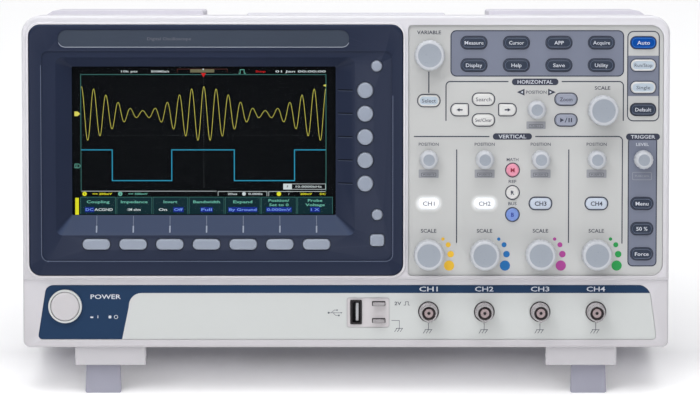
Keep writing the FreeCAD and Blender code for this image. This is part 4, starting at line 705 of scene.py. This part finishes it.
# horizontal group
p.line([(59.4, 135.0)] + arc(61.9, 155.8, 2.5, 180, 90) + [(96.4, 158.3)], LW, M_INK)
p.line([(127.9, 158.3)] + arc(162.0, 155.8, 2.5, 90, 0) + [(164.5, 135.0)], LW, M_INK)
p.fill(rrect(112.2, 158.1, 27.6, 3.9, 1.9), M_INK)
p.text(112.2, 158.1, "HORIZONTAL", 2.1, M_INK_PALE, width=20.8, lift=0.09)
p.text(112.9, 152.0, "POSITION", 1.9, M_INK_SOFT, width=12.2)
for d in (-1, 1):
    tip, base = 112.9 + d * 11.5, 112.9 + d * 7.0
    p.fill([(tip, 152.0), (base, 154.05), (base, 149.95)][::d], M_INK)
    p.fill([(tip - 2.3 * d, 152.0), (base + 0.9 * d, 152.75), (base + 0.9 * d, 151.25)][::d], M_INK_PALE, 0.08)
p.text(152.1, 154.5, "SCALE", 2.0, M_INK, width=9.2)
p.line([(49.2, 164.2), (49.2, 151.6)], LW, M_INK)
p.text(49.3, 187.4, "VARIABLE", 2.1, M_INK, width=14.2)


def push_box(x, z, w, h, words):
    p.fill(rrect(x, z, w, h, 0.5), M_INK_BOX, 0.05)
    p.line(rrect(x, z - h * 0.12, w * 0.72, h * 0.4, 0.3), 0.28, M_INK_SOFT, 0.07, closed=True)
    p.text(x, z - h * 0.12, words, 0.9, M_INK_SOFT, width=w * 0.55, lift=0.08)


push_box(112.8, 132.4, 11.4, 4.6, "PUSH 0")
# vertical group
p.line([(40.4, 125.7), (85.2, 125.7)], LW, M_INK)
p.line([(112.4, 125.7)] + arc(161.6, 123.2, 2.5, 90, 0) + [(164.1, 62.0)], LW, M_INK)
p.fill(rrect(98.8, 125.7, 23.2, 3.8, 1.85), M_INK)
p.text(98.8, 125.7, "VERTICAL", 2.1, M_INK_PALE, width=16.4, lift=0.09)
for x in (65.8, 132.3):
    p.line([(x, 118.0), (x, 62.4)], LW, M_INK)
for i, x in enumerate(CHX):
    p.text(x, 121.1, "POSITION", 1.8, M_INK_SOFT, width=11.9)
    push_box(x, 103.6, 11.9, 5.0, "PUSH 0")
    p.text(x, 69.6, "SCALE", 2.1, M_INK, width=9.2)
    for dx, dz, r in ((8.5, 9.0, 1.0), (11.65, 5.6, 1.5), (13.1, 0.0, 1.95), (12.2, -6.8, 3.05)):
        p.fill(circle(x + dx, SCALE_Z + dz, r, 32), M_DOTS[i])
for words, z in (("MATH", 112.0), ("REF", 99.0), ("BUS", 85.8)):
    p.text(98.95, z, words, 1.8, M_INK_SOFT, width={"MATH": 7.0, "REF": 4.6, "BUS": 5.0}[words])
# trigger column
p.fill(rrect(176.05, 86.9, 16.7, 76.4, 2.6), M_SLATE)
p.line(rrect(176.05, 86.9, 16.7, 76.4, 2.6), LW, M_INK, 0.07, closed=True)
p.fill(rrect(176.25, 125.5, 20.1, 3.9, 1.9), M_INK, 0.08)
p.text(176.25, 125.5, "TRIGGER", 2.0, M_INK_PALE, width=14.4, lift=0.1)
p.text(176.0, 121.0, "LEVEL", 1.7, M_INK_PALE, width=7.6, lift=0.09)
p.line(rrect(175.8, 102.2, 11.2, 4.4, 0.5), 0.3, M_INK_BOX, 0.08, closed=True)
p.text(175.8, 102.2, "PUSH 50%", 1.0, M_INK_BOX, width=8.4, lift=0.09)


# dark surrounds of the keys
def surround(shape, gap=0.12, width=0.5, mat=M_INK, lift=0.09):
    p.ring(shape(-gap - width), shape(-gap), mat, lift)


for x, z in FKEYS:
    surround(shape_rr(x, z, FW, FH, FR), width=0.6)
for nm, z in AUTO.items():
    surround(shape_rr(AUTO_X, z, FW, FH, FR), width=0.45)
for x, z in [SELECT] + SEARCH + ZOOM + TRIG:
    surround(shape_rr(x, z, KW, KH, KR), width=0.5)
for x, z in MRB:
    surround(shape_c(x, z, 3.8), width=0.5, mat=M_INK)
surround(shape_arrow(*ARROWS[0], True), width=0.5)
surround(shape_arrow(*ARROWS[1], False), width=0.5)
for x in CHX[2:]:
    surround(shape_rr(x, CHKEY_Z, KW, KH, KR), width=0.6)
# light that spills from the two lit keys
halo = [light(f"key_halo_{k}", (250, 252, 255), 0.34 * (1 - k / 7) ** 2, base=(191, 192, 191)) for k in range(7)]
for x in CHX[:2]:
    s = shape_rr(x, CHKEY_Z, KW, KH, KR)
    for k in range(7):
        p.ring(s(-0.05 - 0.36 * (k + 1)), s(-0.05 - 0.36 * k), halo[k], 0.06)
p.done("fascia_print", "case")

# ---------------------------------------------------------------- print on the input strip
p = Print(STRIP_Y)
p.fill_holed(rpoly([(-183.2, 4.85, 2.2), (-133.2, 4.85, 0), (-129.2, 24.0, 0)] + [(x, z, 0) for x, z in arc(-121.6, 24.9, 7.5, 173, 90, 8)]
             + [(181.9, 32.4, 0.0), (178.8, 37.15, 4.4), (-178.4, 37.15, 5.6), (-181.6, 21.0, 30.0)]),
             [circle(-167.0, 24.5, 9.4, 48)], M_BAND)
p.text(-142.9, 30.2, "POWER", 2.6, M_INK_PALE, width=18.0, bold=0.01, lift=0.08)
p.fill(rrect(-151.2, 17.9, 1.8, 0.9, 0.3), M_INK_PALE, 0.08)
p.fill(rrect(-147.6, 18.2, 0.4, 1.7, 0.1), M_INK_PALE, 0.08)
p.fill(rrect(-140.4, 18.1, 1.6, 1.6, 0.3), M_INK_PALE, 0.08)
p.ring(circle(-136.8, 18.1, 1.2, 24), circle(-136.8, 18.1, 0.85, 24), M_INK_PALE, 0.08)
for i, x in enumerate(CHX):
    p.text(x, 34.8, f"CH{i + 1}", 2.75, M_INK_PALE, width=11.0, bold=0.012, lift=0.08)
    p.line([(x, 14.6), (x, 10.6)], 0.3, M_INK)
    p.line([(x - 2.2, 10.5), (x + 2.3, 10.5)], 0.3, M_INK)
    for d in (-2.2, -0.4, 1.4):
        p.line([(x + d + 0.5, 10.5), (x + d - 0.9, 8.3)], 0.3, M_INK)
p.text(31.0, 26.2, "2V", 2.0, M_INK, width=4.0)
p.line([(34.4, 25.2), (35.5, 25.2), (35.5, 27.2), (37.2, 27.2), (37.2, 25.2), (38.1, 25.2)], 0.3, M_INK)
p.line([(27.2, 16.0), (31.9, 16.0), (31.9, 11.4)], 0.3, M_INK_SOFT)
p.line([(29.8, 11.3), (34.0, 11.3)], 0.3, M_INK)
for d in (-2.0, -0.3, 1.4):
    p.line([(31.9 + d + 0.5, 11.3), (31.9 + d - 0.9, 9.2)], 0.3, M_INK)
# the plain serial-bus sign
p.line([(-10.0, 20.6), (-2.6, 20.6)], 0.28, M_INK_SOFT)
p.fill([(-2.9, 21.1), (-2.0, 20.6), (-2.9, 20.1)], M_INK_SOFT)
p.fill(circle(-10.2, 20.6, 0.6, 16), M_INK_SOFT)
p.line([(-8.6, 20.6), (-6.9, 22.2), (-5.4, 22.2)], 0.25, M_INK_SOFT)
p.fill(circle(-5.2, 22.2, 0.45, 14), M_INK_SOFT)
p.line([(-7.6, 20.6), (-6.0, 19.0), (-4.4, 19.0)], 0.25, M_INK_SOFT)
p.fill(rrect(-4.1, 19.0, 0.9, 0.9, 0.1), M_INK_SOFT)
p.done("strip_print", "case")

# ---------------------------------------------------------------- bezel: recess tint, and painted light: highlight under the recess, light and shade of the tick marks, highlight line along the inset step
p = Print(-0.3)
p.fill(rrect(-84.1, 183.65, 172.2, 10.3, 4.8), M_RECESS, 0.05)
p.text(-104.5, 183.65, "Digital Oscilloscope", 1.7, M_INK_SOFT, width=26.0, lift=0.08)
# painted highlight along the lit bottom edge of the label recess
p.line(arc(-165.9, 183.3, 4.6, 205, 270, 6) + arc(-2.3, 183.3, 4.6, 270, 335, 6), 0.42, plastic("recess_edge_highlight", (158, 166, 180), rough=0.35, vary=0.04), 0.1)
p.done("recess_panel", "case")

M_TICK = plastic("tick_pale", (132, 141, 160), rough=0.4, vary=0.03)
M_TICKDIM = plastic("tick_dim", (92, 102, 124), rough=0.4, vary=0.03)
p = Print(-0.2)


def slope_z(x, z):      # the funnel's lower slope
    t = (78.85 - z) / (78.85 - 67.0)
    return 6.7 + (-0.2 - 6.7) * min(1.0, max(0.0, t))


def slope_x(x, z):      # the funnel's right slope
    t = (x + 6.15) / (5.5 + 6.15)
    return 6.7 + (-0.2 - 6.7) * min(1.0, max(0.0, t))


# painted light on the tick ridges of the lower slope: a dim painted-shade upper half, a pale painted highlight below
for x, _ in MENU:
    p.line([(x - 0.1, 78.2), (x, 73.0)], 0.4, M_TICKDIM, 0.08, at=slope_z)
    p.line([(x, 72.6), (x, 68.6)], 0.8, M_TICK, 0.1, at=slope_z)
M_TICKDARK = plastic("tick_dark", (17, 21, 33), rough=0.5, vary=0.05, spec=0.1)
M_TICKLOW = plastic("tick_low", (66, 76, 97), rough=0.4, vary=0.03)
# on the right slope each tick is a dark painted-shade line with a thin painted highlight along its lower edge
for _, z in SIDE:
    p.line([(-4.6, z + 0.1), (4.0, z + 0.1)], 0.8, M_TICKDARK, 0.1, at=slope_x)
    p.line([(-4.6, z - 0.42), (4.0, z - 0.42)], 0.24, M_TICKLOW, 0.1, at=slope_x)
p.done("funnel_ticks", "case")

# painted highlight along the lit left, bottom and right edges of the bezel's shallow inset step
p = Print(-0.8)
p.line([(27.9, 150.0), (27.9, 56.0)] + arc(23.7, 55.8, 4.2, 0, -90) + [(-176.4, 51.6)] + arc(-176.4, 55.8, 4.2, -90, -180) + [(-180.6, 168.0)], 0.34, M_TICKDIM, 0.03)
p.done("bezel_step_highlight", "case")

# ---------------------------------------------------------------- the picture on the screen
K = 0.5935


def sx(px):
    return (px - 345.75) * K


def sz(py):
    return (348.0 - py) * K - 0.5


L_YEL, L_CYAN, L_TEAL, L_DOT = light("lit_yellow", (226, 220, 96), 1.0), light("lit_cyan", (48, 160, 196), 1.0), \
    light("lit_teal", (72, 132, 126), 1.0), light("lit_dot", (70, 74, 76), 1.0)
L_WHITE, L_RED, L_BOX, L_BLUE = light("lit_white", (214, 224, 226), 1.0), light("lit_red", (206, 34, 34), 1.0), \
    light("lit_box", (16, 44, 50), 1.0), light("lit_blue", (118, 156, 240), 1.0)
L_MARK = light("lit_mark", (22, 42, 140), 1.0)
L_BRIGHT, L_GREEN, L_BAR = light("lit_yellow_bar", (232, 232, 40), 1.0), light("lit_mint", (112, 190, 170), 1.0), light("lit_bar", (112, 110, 84), 1.0)
L_BLACK = light("lit_black", (2, 3, 4), 1.0)
p = Print(8.75)
p.fill([(sx(70.5), sz(216.5)), (sx(336.5), sz(216.5)), (sx(336.5), sz(65.5)), (sx(70.5), sz(65.5))], L_BLACK, 0.0)


def s_line(pts, w, mat, lift=0.05):
    p.line([(sx(a), sz(b)) for a, b in pts], w, mat, lift)


def s_box(x0, y0, x1, y1, mat, lift=0.04):
    p.fill([(sx(x0), sz(y1)), (sx(x1), sz(y1)), (sx(x1), sz(y0)), (sx(x0), sz(y0))], mat, lift)


def s_text(x, y, words, cap, mat, width=None, bold=0.02, align="c", lift=0.09):
    p.text(sx(x), sz(y), words, cap, mat, width=width, bold=bold, align=align, lift=lift)


s_line([(80.2, 190.3), (80.2, 73.9), (325.9, 73.9), (325.9, 190.3)], 0.3, L_TEAL)
for i in range(47):
    s_box(203.0, 76 + i * 2.4, 203.6, 76.9 + i * 2.4, L_DOT)
for i in range(49):
    s_box(82 + i * 5.0, 134.4, 83.1 + i * 5.0, 135.0, L_DOT)
for i in range(1, 10):
    if i != 5:
        for k in range(12):
            s_box(80.2 + 24.57 * i - 0.2, 80 + k * 9.6, 80.2 + 24.57 * i + 0.2, 80.5 + k * 9.6, L_DOT)
wave = []
for i in range(737):
    x = 80.6 + (325.5 - 80.6) * i / 736
    env = 15.2 + 12.0 * math.cos(2 * math.pi * (x - 203.6) / 123.0)
    wave.append((x, 113.2 - env * math.cos(2 * math.pi * (x - 203.6) / 12.27)))
s_line(wave, 0.24, L_YEL, 0.06)
s_line([(80.4, 149.4), (111.5, 149.4), (111.5, 180.3), (171.2, 180.3), (171.2, 149.4), (233.9, 149.4), (233.9, 180.3),
        (294.3, 180.3), (294.3, 149.4), (325.7, 149.4)], 0.54, L_CYAN, 0.07)
s_text(129.0, 70.7, "10k pts", 1.15, L_WHITE, width=9.8)
s_text(159.8, 70.7, "500MSa/s", 1.15, L_WHITE, width=10.8)
s_line([(177.0, 71.6), (177.0, 68.4), (227.0, 68.4), (227.0, 71.6)], 0.22, light("lit_rust", (96, 52, 46), 1.0))
s_box(190.0, 68.2, 214.0, 71.8, L_BAR)
s_box(202.4, 68.0, 203.6, 69.3, L_WHITE, 0.06)
p.fill([(sx(200.6), sz(72.3)), (sx(205.8), sz(72.3)), (sx(203.2), sz(76.6))][::-1], L_RED, 0.08)
s_line([(238.4, 72.6), (240.0, 72.6), (240.0, 69.0), (244.0, 69.0), (244.0, 72.6), (245.6, 72.6)], 0.34, L_GREEN)
s_text(260.5, 70.7, "Stop", 1.1, L_RED, width=6.0)
s_text(300.5, 70.7, "01 Jan 00:00:00", 1.15, L_WHITE, width=30.0)
p.fill([(sx(x), sz(y)) for x, y in ((73.8, 110.9), (77.0, 110.9), (79.6, 113.2), (77.0, 115.5), (73.8, 115.5))][::-1], L_YEL, 0.08)
s_line([(74.0, 163.6), (78.0, 163.6), (79.6, 165.5), (78.0, 167.4), (74.0, 167.4), (74.0, 163.6)], 0.3, L_GREEN)
s_text(76.0, 165.5, "2", 1.2, L_GREEN)
p.fill([(sx(x), sz(y)) for x, y in ((325.9, 83.5), (322.8, 84.8), (325.9, 86.1))][::-1], L_YEL, 0.08)
# frequency readout
s_box(283.0, 183.4, 291.6, 189.2, L_WHITE)
s_text(287.3, 186.3, "F", 1.3, L_BLACK)
s_line([(291.6, 183.6), (325.4, 183.6), (325.4, 189.0), (291.6, 189.0)], 0.24, L_WHITE)
s_text(308.6, 186.3, "10.0000kHz", 1.15, L_WHITE, width=15.6)
# information line
s_line([(80.4, 190.9), (216.0, 190.9)], 0.25, L_WHITE)
s_line([(217.6, 195.6), (217.6, 191.2), (266.6, 191.2), (266.6, 195.8)], 0.25, L_WHITE)
s_line([(268.4, 195.8), (268.4, 191.2), (325.4, 191.2)], 0.25, L_WHITE)
p.fill(circle(sx(83.6), sz(193.6), 1.3, 20), L_BRIGHT, 0.06)
s_text(83.6, 193.6, "1", 1.2, L_BLACK)
s_text(101.4, 193.6, "== 200mV", 1.15, L_BRIGHT, width=11.6)
p.fill(circle(sx(119.4), sz(193.6), 1.3, 20), L_GREEN, 0.06)
s_text(119.4, 193.6, "2", 1.2, L_BLACK)
s_text(137.2, 193.6, "== 500mV", 1.15, L_GREEN, width=11.6)
s_text(232.0, 193.6, "20us", 1.15, L_WHITE, width=5.6)
p.fill(circle(sx(243.6), sz(193.6), 1.1, 20), L_WHITE, 0.06)
s_text(255.0, 193.6, "0.000s", 1.15, L_WHITE, width=8.6)
p.fill(circle(sx(278.6), sz(193.6), 1.3, 20), L_BRIGHT, 0.06)
s_text(288.6, 193.6, "/", 1.15, L_WHITE)
s_text(306.0, 193.6, "200mV", 1.15, L_BRIGHT, width=7.0)
s_text(322.6, 193.6, "DC", 1.15, L_BRIGHT, width=3.4)
# menu boxes
menu = [("Coupling", [("DC", L_BLUE, -8.6, 4.6), ("AC", L_WHITE, 0.0, 4.4), ("GND", L_WHITE, 9.2, 6.6)]), ("Impedance", [("1M ohm", L_WHITE, 0, 7.6)]),
        ("Invert", [("On", L_WHITE, -7.6, 5.0), ("Off", L_BLUE, 8.0, 5.2)]), ("Bandwidth", [("Full", L_BLUE, 0, 6.4)]),
        ("Expand", [("By Ground", L_BLUE, 0, 16.4)]), ("Position/", [("0.000mV", L_BLUE, 0, 14.4)]), ("Probe", [("1 X", L_BLUE, 0, 5.0)])]
for i, (head, rows) in enumerate(menu):
    x0 = 79.6 + 36.3 * i
    s_box(x0, 196.9, x0 + 35.0, 213.9, L_BOX)
    s_line([(x0, 213.9), (x0, 196.9), (x0 + 35.0, 196.9), (x0 + 35.0, 213.9)], 0.2, L_TEAL, 0.06)
    cx = x0 + 17.5
    three = i >= 5
    s_text(cx, 200.2 if three else 201.6, head, 1.55, L_GREEN, width={0: 13.6, 1: 16.0, 2: 8.2, 3: 16.0, 4: 11.4, 5: 12.4, 6: 8.6}[i])
    if three:
        s_text(cx, 204.6, "Set to 0" if i == 5 else "Voltage", 1.5, L_GREEN, width=11.6)
    for words, mat, dx, w in rows:
        if mat is L_BLUE:
            s_box(cx + dx - w / 1.187 - 0.8, 206.9, cx + dx + w / 1.187 + 0.8, 212.0, L_MARK, 0.06)
        s_text(cx + dx, 209.4, words, 1.5, mat, width=w)
s_box(74.2, 197.6, 77.8, 214.6, L_BRIGHT)
p.done("screen_picture", "case")

# ---------------------------------------------------------------- sockets: rings, linings, tongues and slots
M_GAP = plastic("socket_dark", (34, 30, 33), rough=0.5, vary=0.1, spec=0.3)
M_GAP2 = plastic("socket_lining", (78, 68, 71), rough=0.4, vary=0.1)
v, f, m = [], [], []
# painted shade: each centre contact is a shallow lined pit with a dark disc for the inside of its hole
for x in CHX:
    loft(shape_c(x, 21.3, 1.0), [(0.0, -8.5, 0), (0.0, -8.66, 0), (0.12, -8.72, 0), (0.3, -8.72, 1)], v, f, m, None, -8.72)
make("input_contacts", v, f, [M_GAP2, M_HOLE], "case", m, smooth=40)
p = Print(0.0)
for x in CHX:
    p.level = 1.8
    p.ring(circle(x, 21.3, 6.2, 48), circle(x, 21.3, 5.55, 48), M_GAP, 0.03)
    p.level = -5.4
    p.ring(circle(x, 21.3, 4.04, 40), circle(x, 21.3, 2.61, 40), M_GAP2, 0.0)
p.done("socket_rings", "case")
M_PLATE_EDGE = plastic("port_plate_edge", (172, 168, 172), rough=0.5, grain=900, bump=0.03, vary=0.02)
p = Print(3.1)
p.ring(rrect(13.3, 20.7, 25.3, 17.7, 1.4), rrect(13.3, 20.7, 24.7, 17.1, 1.1), M_PLATE_EDGE, 0.04)
M_PLATE = plastic("port_plate", (203, 199, 201), rough=0.5, grain=900, bump=0.03, vary=0.02)
for x0, z0, x1, z1 in ((0.95, 12.15, 2.6, 29.25), (2.6, 28.35, 9.6, 29.25), (2.6, 12.15, 9.6, 13.75), (9.6, 12.15, 15.55, 29.25),
                       (15.55, 27.55, 23.65, 29.25), (15.55, 17.4, 23.65, 24.55), (15.55, 12.15, 23.65, 14.4), (23.65, 12.15, 25.65, 29.25)):
    p.fill([(x0, z0), (x1, z0), (x1, z1), (x0, z1)], M_PLATE, 0.03)
for z in (26.05, 15.9):
    p.ring(rrect(19.6, z, 8.1, 3.0, 0.6), rrect(19.6, z, 6.3, 1.3, 0.3), M_GAP, 0.04)
p.ring(rrect(6.1, 21.05, 7.0, 14.6, 0.6), rrect(6.1, 21.05, 4.6, 12.3, 0.3), M_GAP, 0.75)
p.done("port_rings", "case")
p = Print(4.6)
p.fill(rrect(6.8, 21.05, 1.6, 10.6, 0.2), plastic("port_tongue", (196, 196, 200), rough=0.4, vary=0.03), 0.05)
p.done("port_tongue_face", "case")

# ---------------------------------------------------------------- painted shade: black grid screens behind the side vents stand in for the shaded inside of the case
def bar(v, f, x0, x1, y0, y1, z0, z1):
    k = len(v)
    v += [(x, y, z) for x in (x0, x1) for y in (y0, y1) for z in (z0, z1)]
    f += [[k, k + 1, k + 3, k + 2], [k + 4, k + 6, k + 7, k + 5], [k, k + 4, k + 5, k + 1], [k + 2, k + 3, k + 7, k + 6],
          [k, k + 2, k + 6, k + 4], [k + 1, k + 5, k + 7, k + 3]]


for side, name in ((-1, "left"), (1, "right")):
    v, f = [], []
    lay = lambda a, b: sorted((side * a, side * b))
    bar(v, f, *lay(186.6, 187.0), 46.0, 102.0, 57.0, 151.0)
    for i in range(19):
        y = 47.0 + 3.0 * i
        bar(v, f, *lay(187.05, 187.4), y - 0.35, y + 0.35, 57.4, 150.6)
    for i in range(31):
        z = 59.0 + 3.0 * i
        bar(v, f, *lay(187.45, 187.8), 46.4, 101.6, z - 0.35, z + 0.35)
    make("vent_shade_screen_" + name, v, f, [M_BLACK], "case")

# ---------------------------------------------------------------- stage, lights and camera
floor_mat = bpy.data.materials.new("stage_floor")
floor_mat.use_nodes = True
_n, _l = floor_mat.node_tree.nodes, floor_mat.node_tree.links
_n["Principled BSDF"].inputs["Base Color"].default_value = (0.93, 0.93, 0.93, 1)
_n["Principled BSDF"].inputs["Roughness"].default_value = 0.9
# painted light on the floor: emission along Y, strongest in front of the case, none just under its front edge and a
# little far behind, lifts the shadow near the case
_n["Principled BSDF"].inputs["Emission Color"].default_value = (1.0, 1.0, 1.0, 1)
_n["Principled BSDF"].inputs["Emission Strength"].default_value = 1.0
_fc = _n.new("ShaderNodeTexCoord")
_fs = _n.new("ShaderNodeSeparateXYZ")
_fm = _n.new("ShaderNodeMapRange")
_fm.inputs["From Min"].default_value = -0.2
_fm.inputs["From Max"].default_value = 0.3
_fr = _n.new("ShaderNodeValToRGB")
for _k in range(3):
    _fr.color_ramp.elements.new(0.3 + 0.1 * _k)
for _el, (_at, _val) in zip(_fr.color_ramp.elements, ((0.0, 0.2), (0.25, 0.2), (0.34, 0.17), (0.43, 0.0), (1.0, 0.07))):
    _el.position = _at
    _el.color = (_val, _val, _val, 1)
_l.new(_fc.outputs["Object"], _fs.inputs["Vector"])
_l.new(_fs.outputs["Y"], _fm.inputs["Value"])
_l.new(_fm.outputs["Result"], _fr.inputs["Fac"])
_l.new(_fr.outputs["Color"], _n["Principled BSDF"].inputs["Emission Color"])
me = bpy.data.meshes.new("floor")
me.from_pydata([(-9, -9, 0), (9, -9, 0), (9, 9, 0), (-9, 9, 0)], [], [[0, 1, 2, 3]])
me.materials.append(floor_mat)
floor = bpy.data.objects.new("floor", me)
bpy.context.scene.collection.objects.link(floor)

world = bpy.data.worlds.new("studio")
bpy.context.scene.world = world
world.use_nodes = True
_n, _l = world.node_tree.nodes, world.node_tree.links
_tc = _n.new("ShaderNodeTexCoord")
_sp = _n.new("ShaderNodeSeparateXYZ")
_rm = _n.new("ShaderNodeValToRGB")
_rm.color_ramp.elements[0].position = 0.10
_rm.color_ramp.elements[0].color = (0.10, 0.10, 0.11, 1)
_rm.color_ramp.elements[1].position = 0.95
_rm.color_ramp.elements[1].color = (1.0, 1.0, 1.02, 1)
_e = _rm.color_ramp.elements.new(0.45)
_e.color = (0.62, 0.62, 0.64, 1)
_l.new(_tc.outputs["Generated"], _sp.inputs["Vector"])
_l.new(_sp.outputs["Z"], _rm.inputs["Fac"])
_l.new(_rm.outputs["Color"], _n["Background"].inputs["Color"])
_n["Background"].inputs["Strength"].default_value = 0.62
_seen = _n.new("ShaderNodeBackground")      # what shows beyond the floor in low views, lighting nothing
_seen.inputs["Color"].default_value = (0.56, 0.56, 0.57, 1)
_path = _n.new("ShaderNodeLightPath")
_pick = _n.new("ShaderNodeMixShader")
_l.new(_path.outputs["Is Camera Ray"], _pick.inputs["Fac"])
_l.new(_n["Background"].outputs["Background"], _pick.inputs[1])
_l.new(_seen.outputs["Background"], _pick.inputs[2])
_l.new(_pick.outputs["Shader"], _n["World Output"].inputs["Surface"])


def area(name, loc, target, size, power, size_y=None):
    d = bpy.data.lights.new(name, "AREA")
    d.energy = power
    d.shape = "RECTANGLE"
    d.size = size
    d.size_y = size_y or size
    o = bpy.data.objects.new(name, d)
    o.location = loc
    o.rotation_euler = (Vector(target) - Vector(loc)).to_track_quat("-Z", "Y").to_euler()
    bpy.context.scene.collection.objects.link(o)
    return o


area("key_light", (-0.9, -1.5, 1.5), (0, 0, 0.1), 0.9, 9)
area("top_light", (0.0, -0.42, 1.15), (0, 0, 0.1), 1.0, 5.6, 0.6)
area("front_light", (0.0, -2.4, 1.0), (0, 0, 0.05), 2.4, 5.6, 0.6)
area("back_light", (0.0, 0.9, 1.9), (0, 0.7, 0), 2.4, 21)

ELEV, DIST = math.radians(15.06), 2.2
aim = CASE @ Vector((2.5, 0.0, 83.6))
cam_data = bpy.data.cameras.new("camera")
cam = bpy.data.objects.new("camera", cam_data)
bpy.context.scene.collection.objects.link(cam)
cam.location = aim + Vector((0.0, -math.cos(ELEV), math.sin(ELEV))) * DIST
cam.rotation_euler = (aim - cam.location).to_track_quat("-Z", "Y").to_euler()
cam_data.sensor_width = 36.0
cam_data.lens = 36.0 * DIST / 0.4154
cam_data.clip_start = 0.05
cam_data.clip_end = 60.0
bpy.context.scene.camera = cam
bpy.context.scene.view_settings.view_transform = "Standard"
bpy.context.scene.view_settings.look = "None"
bpy.context.scene.view_settings.exposure = 0.0
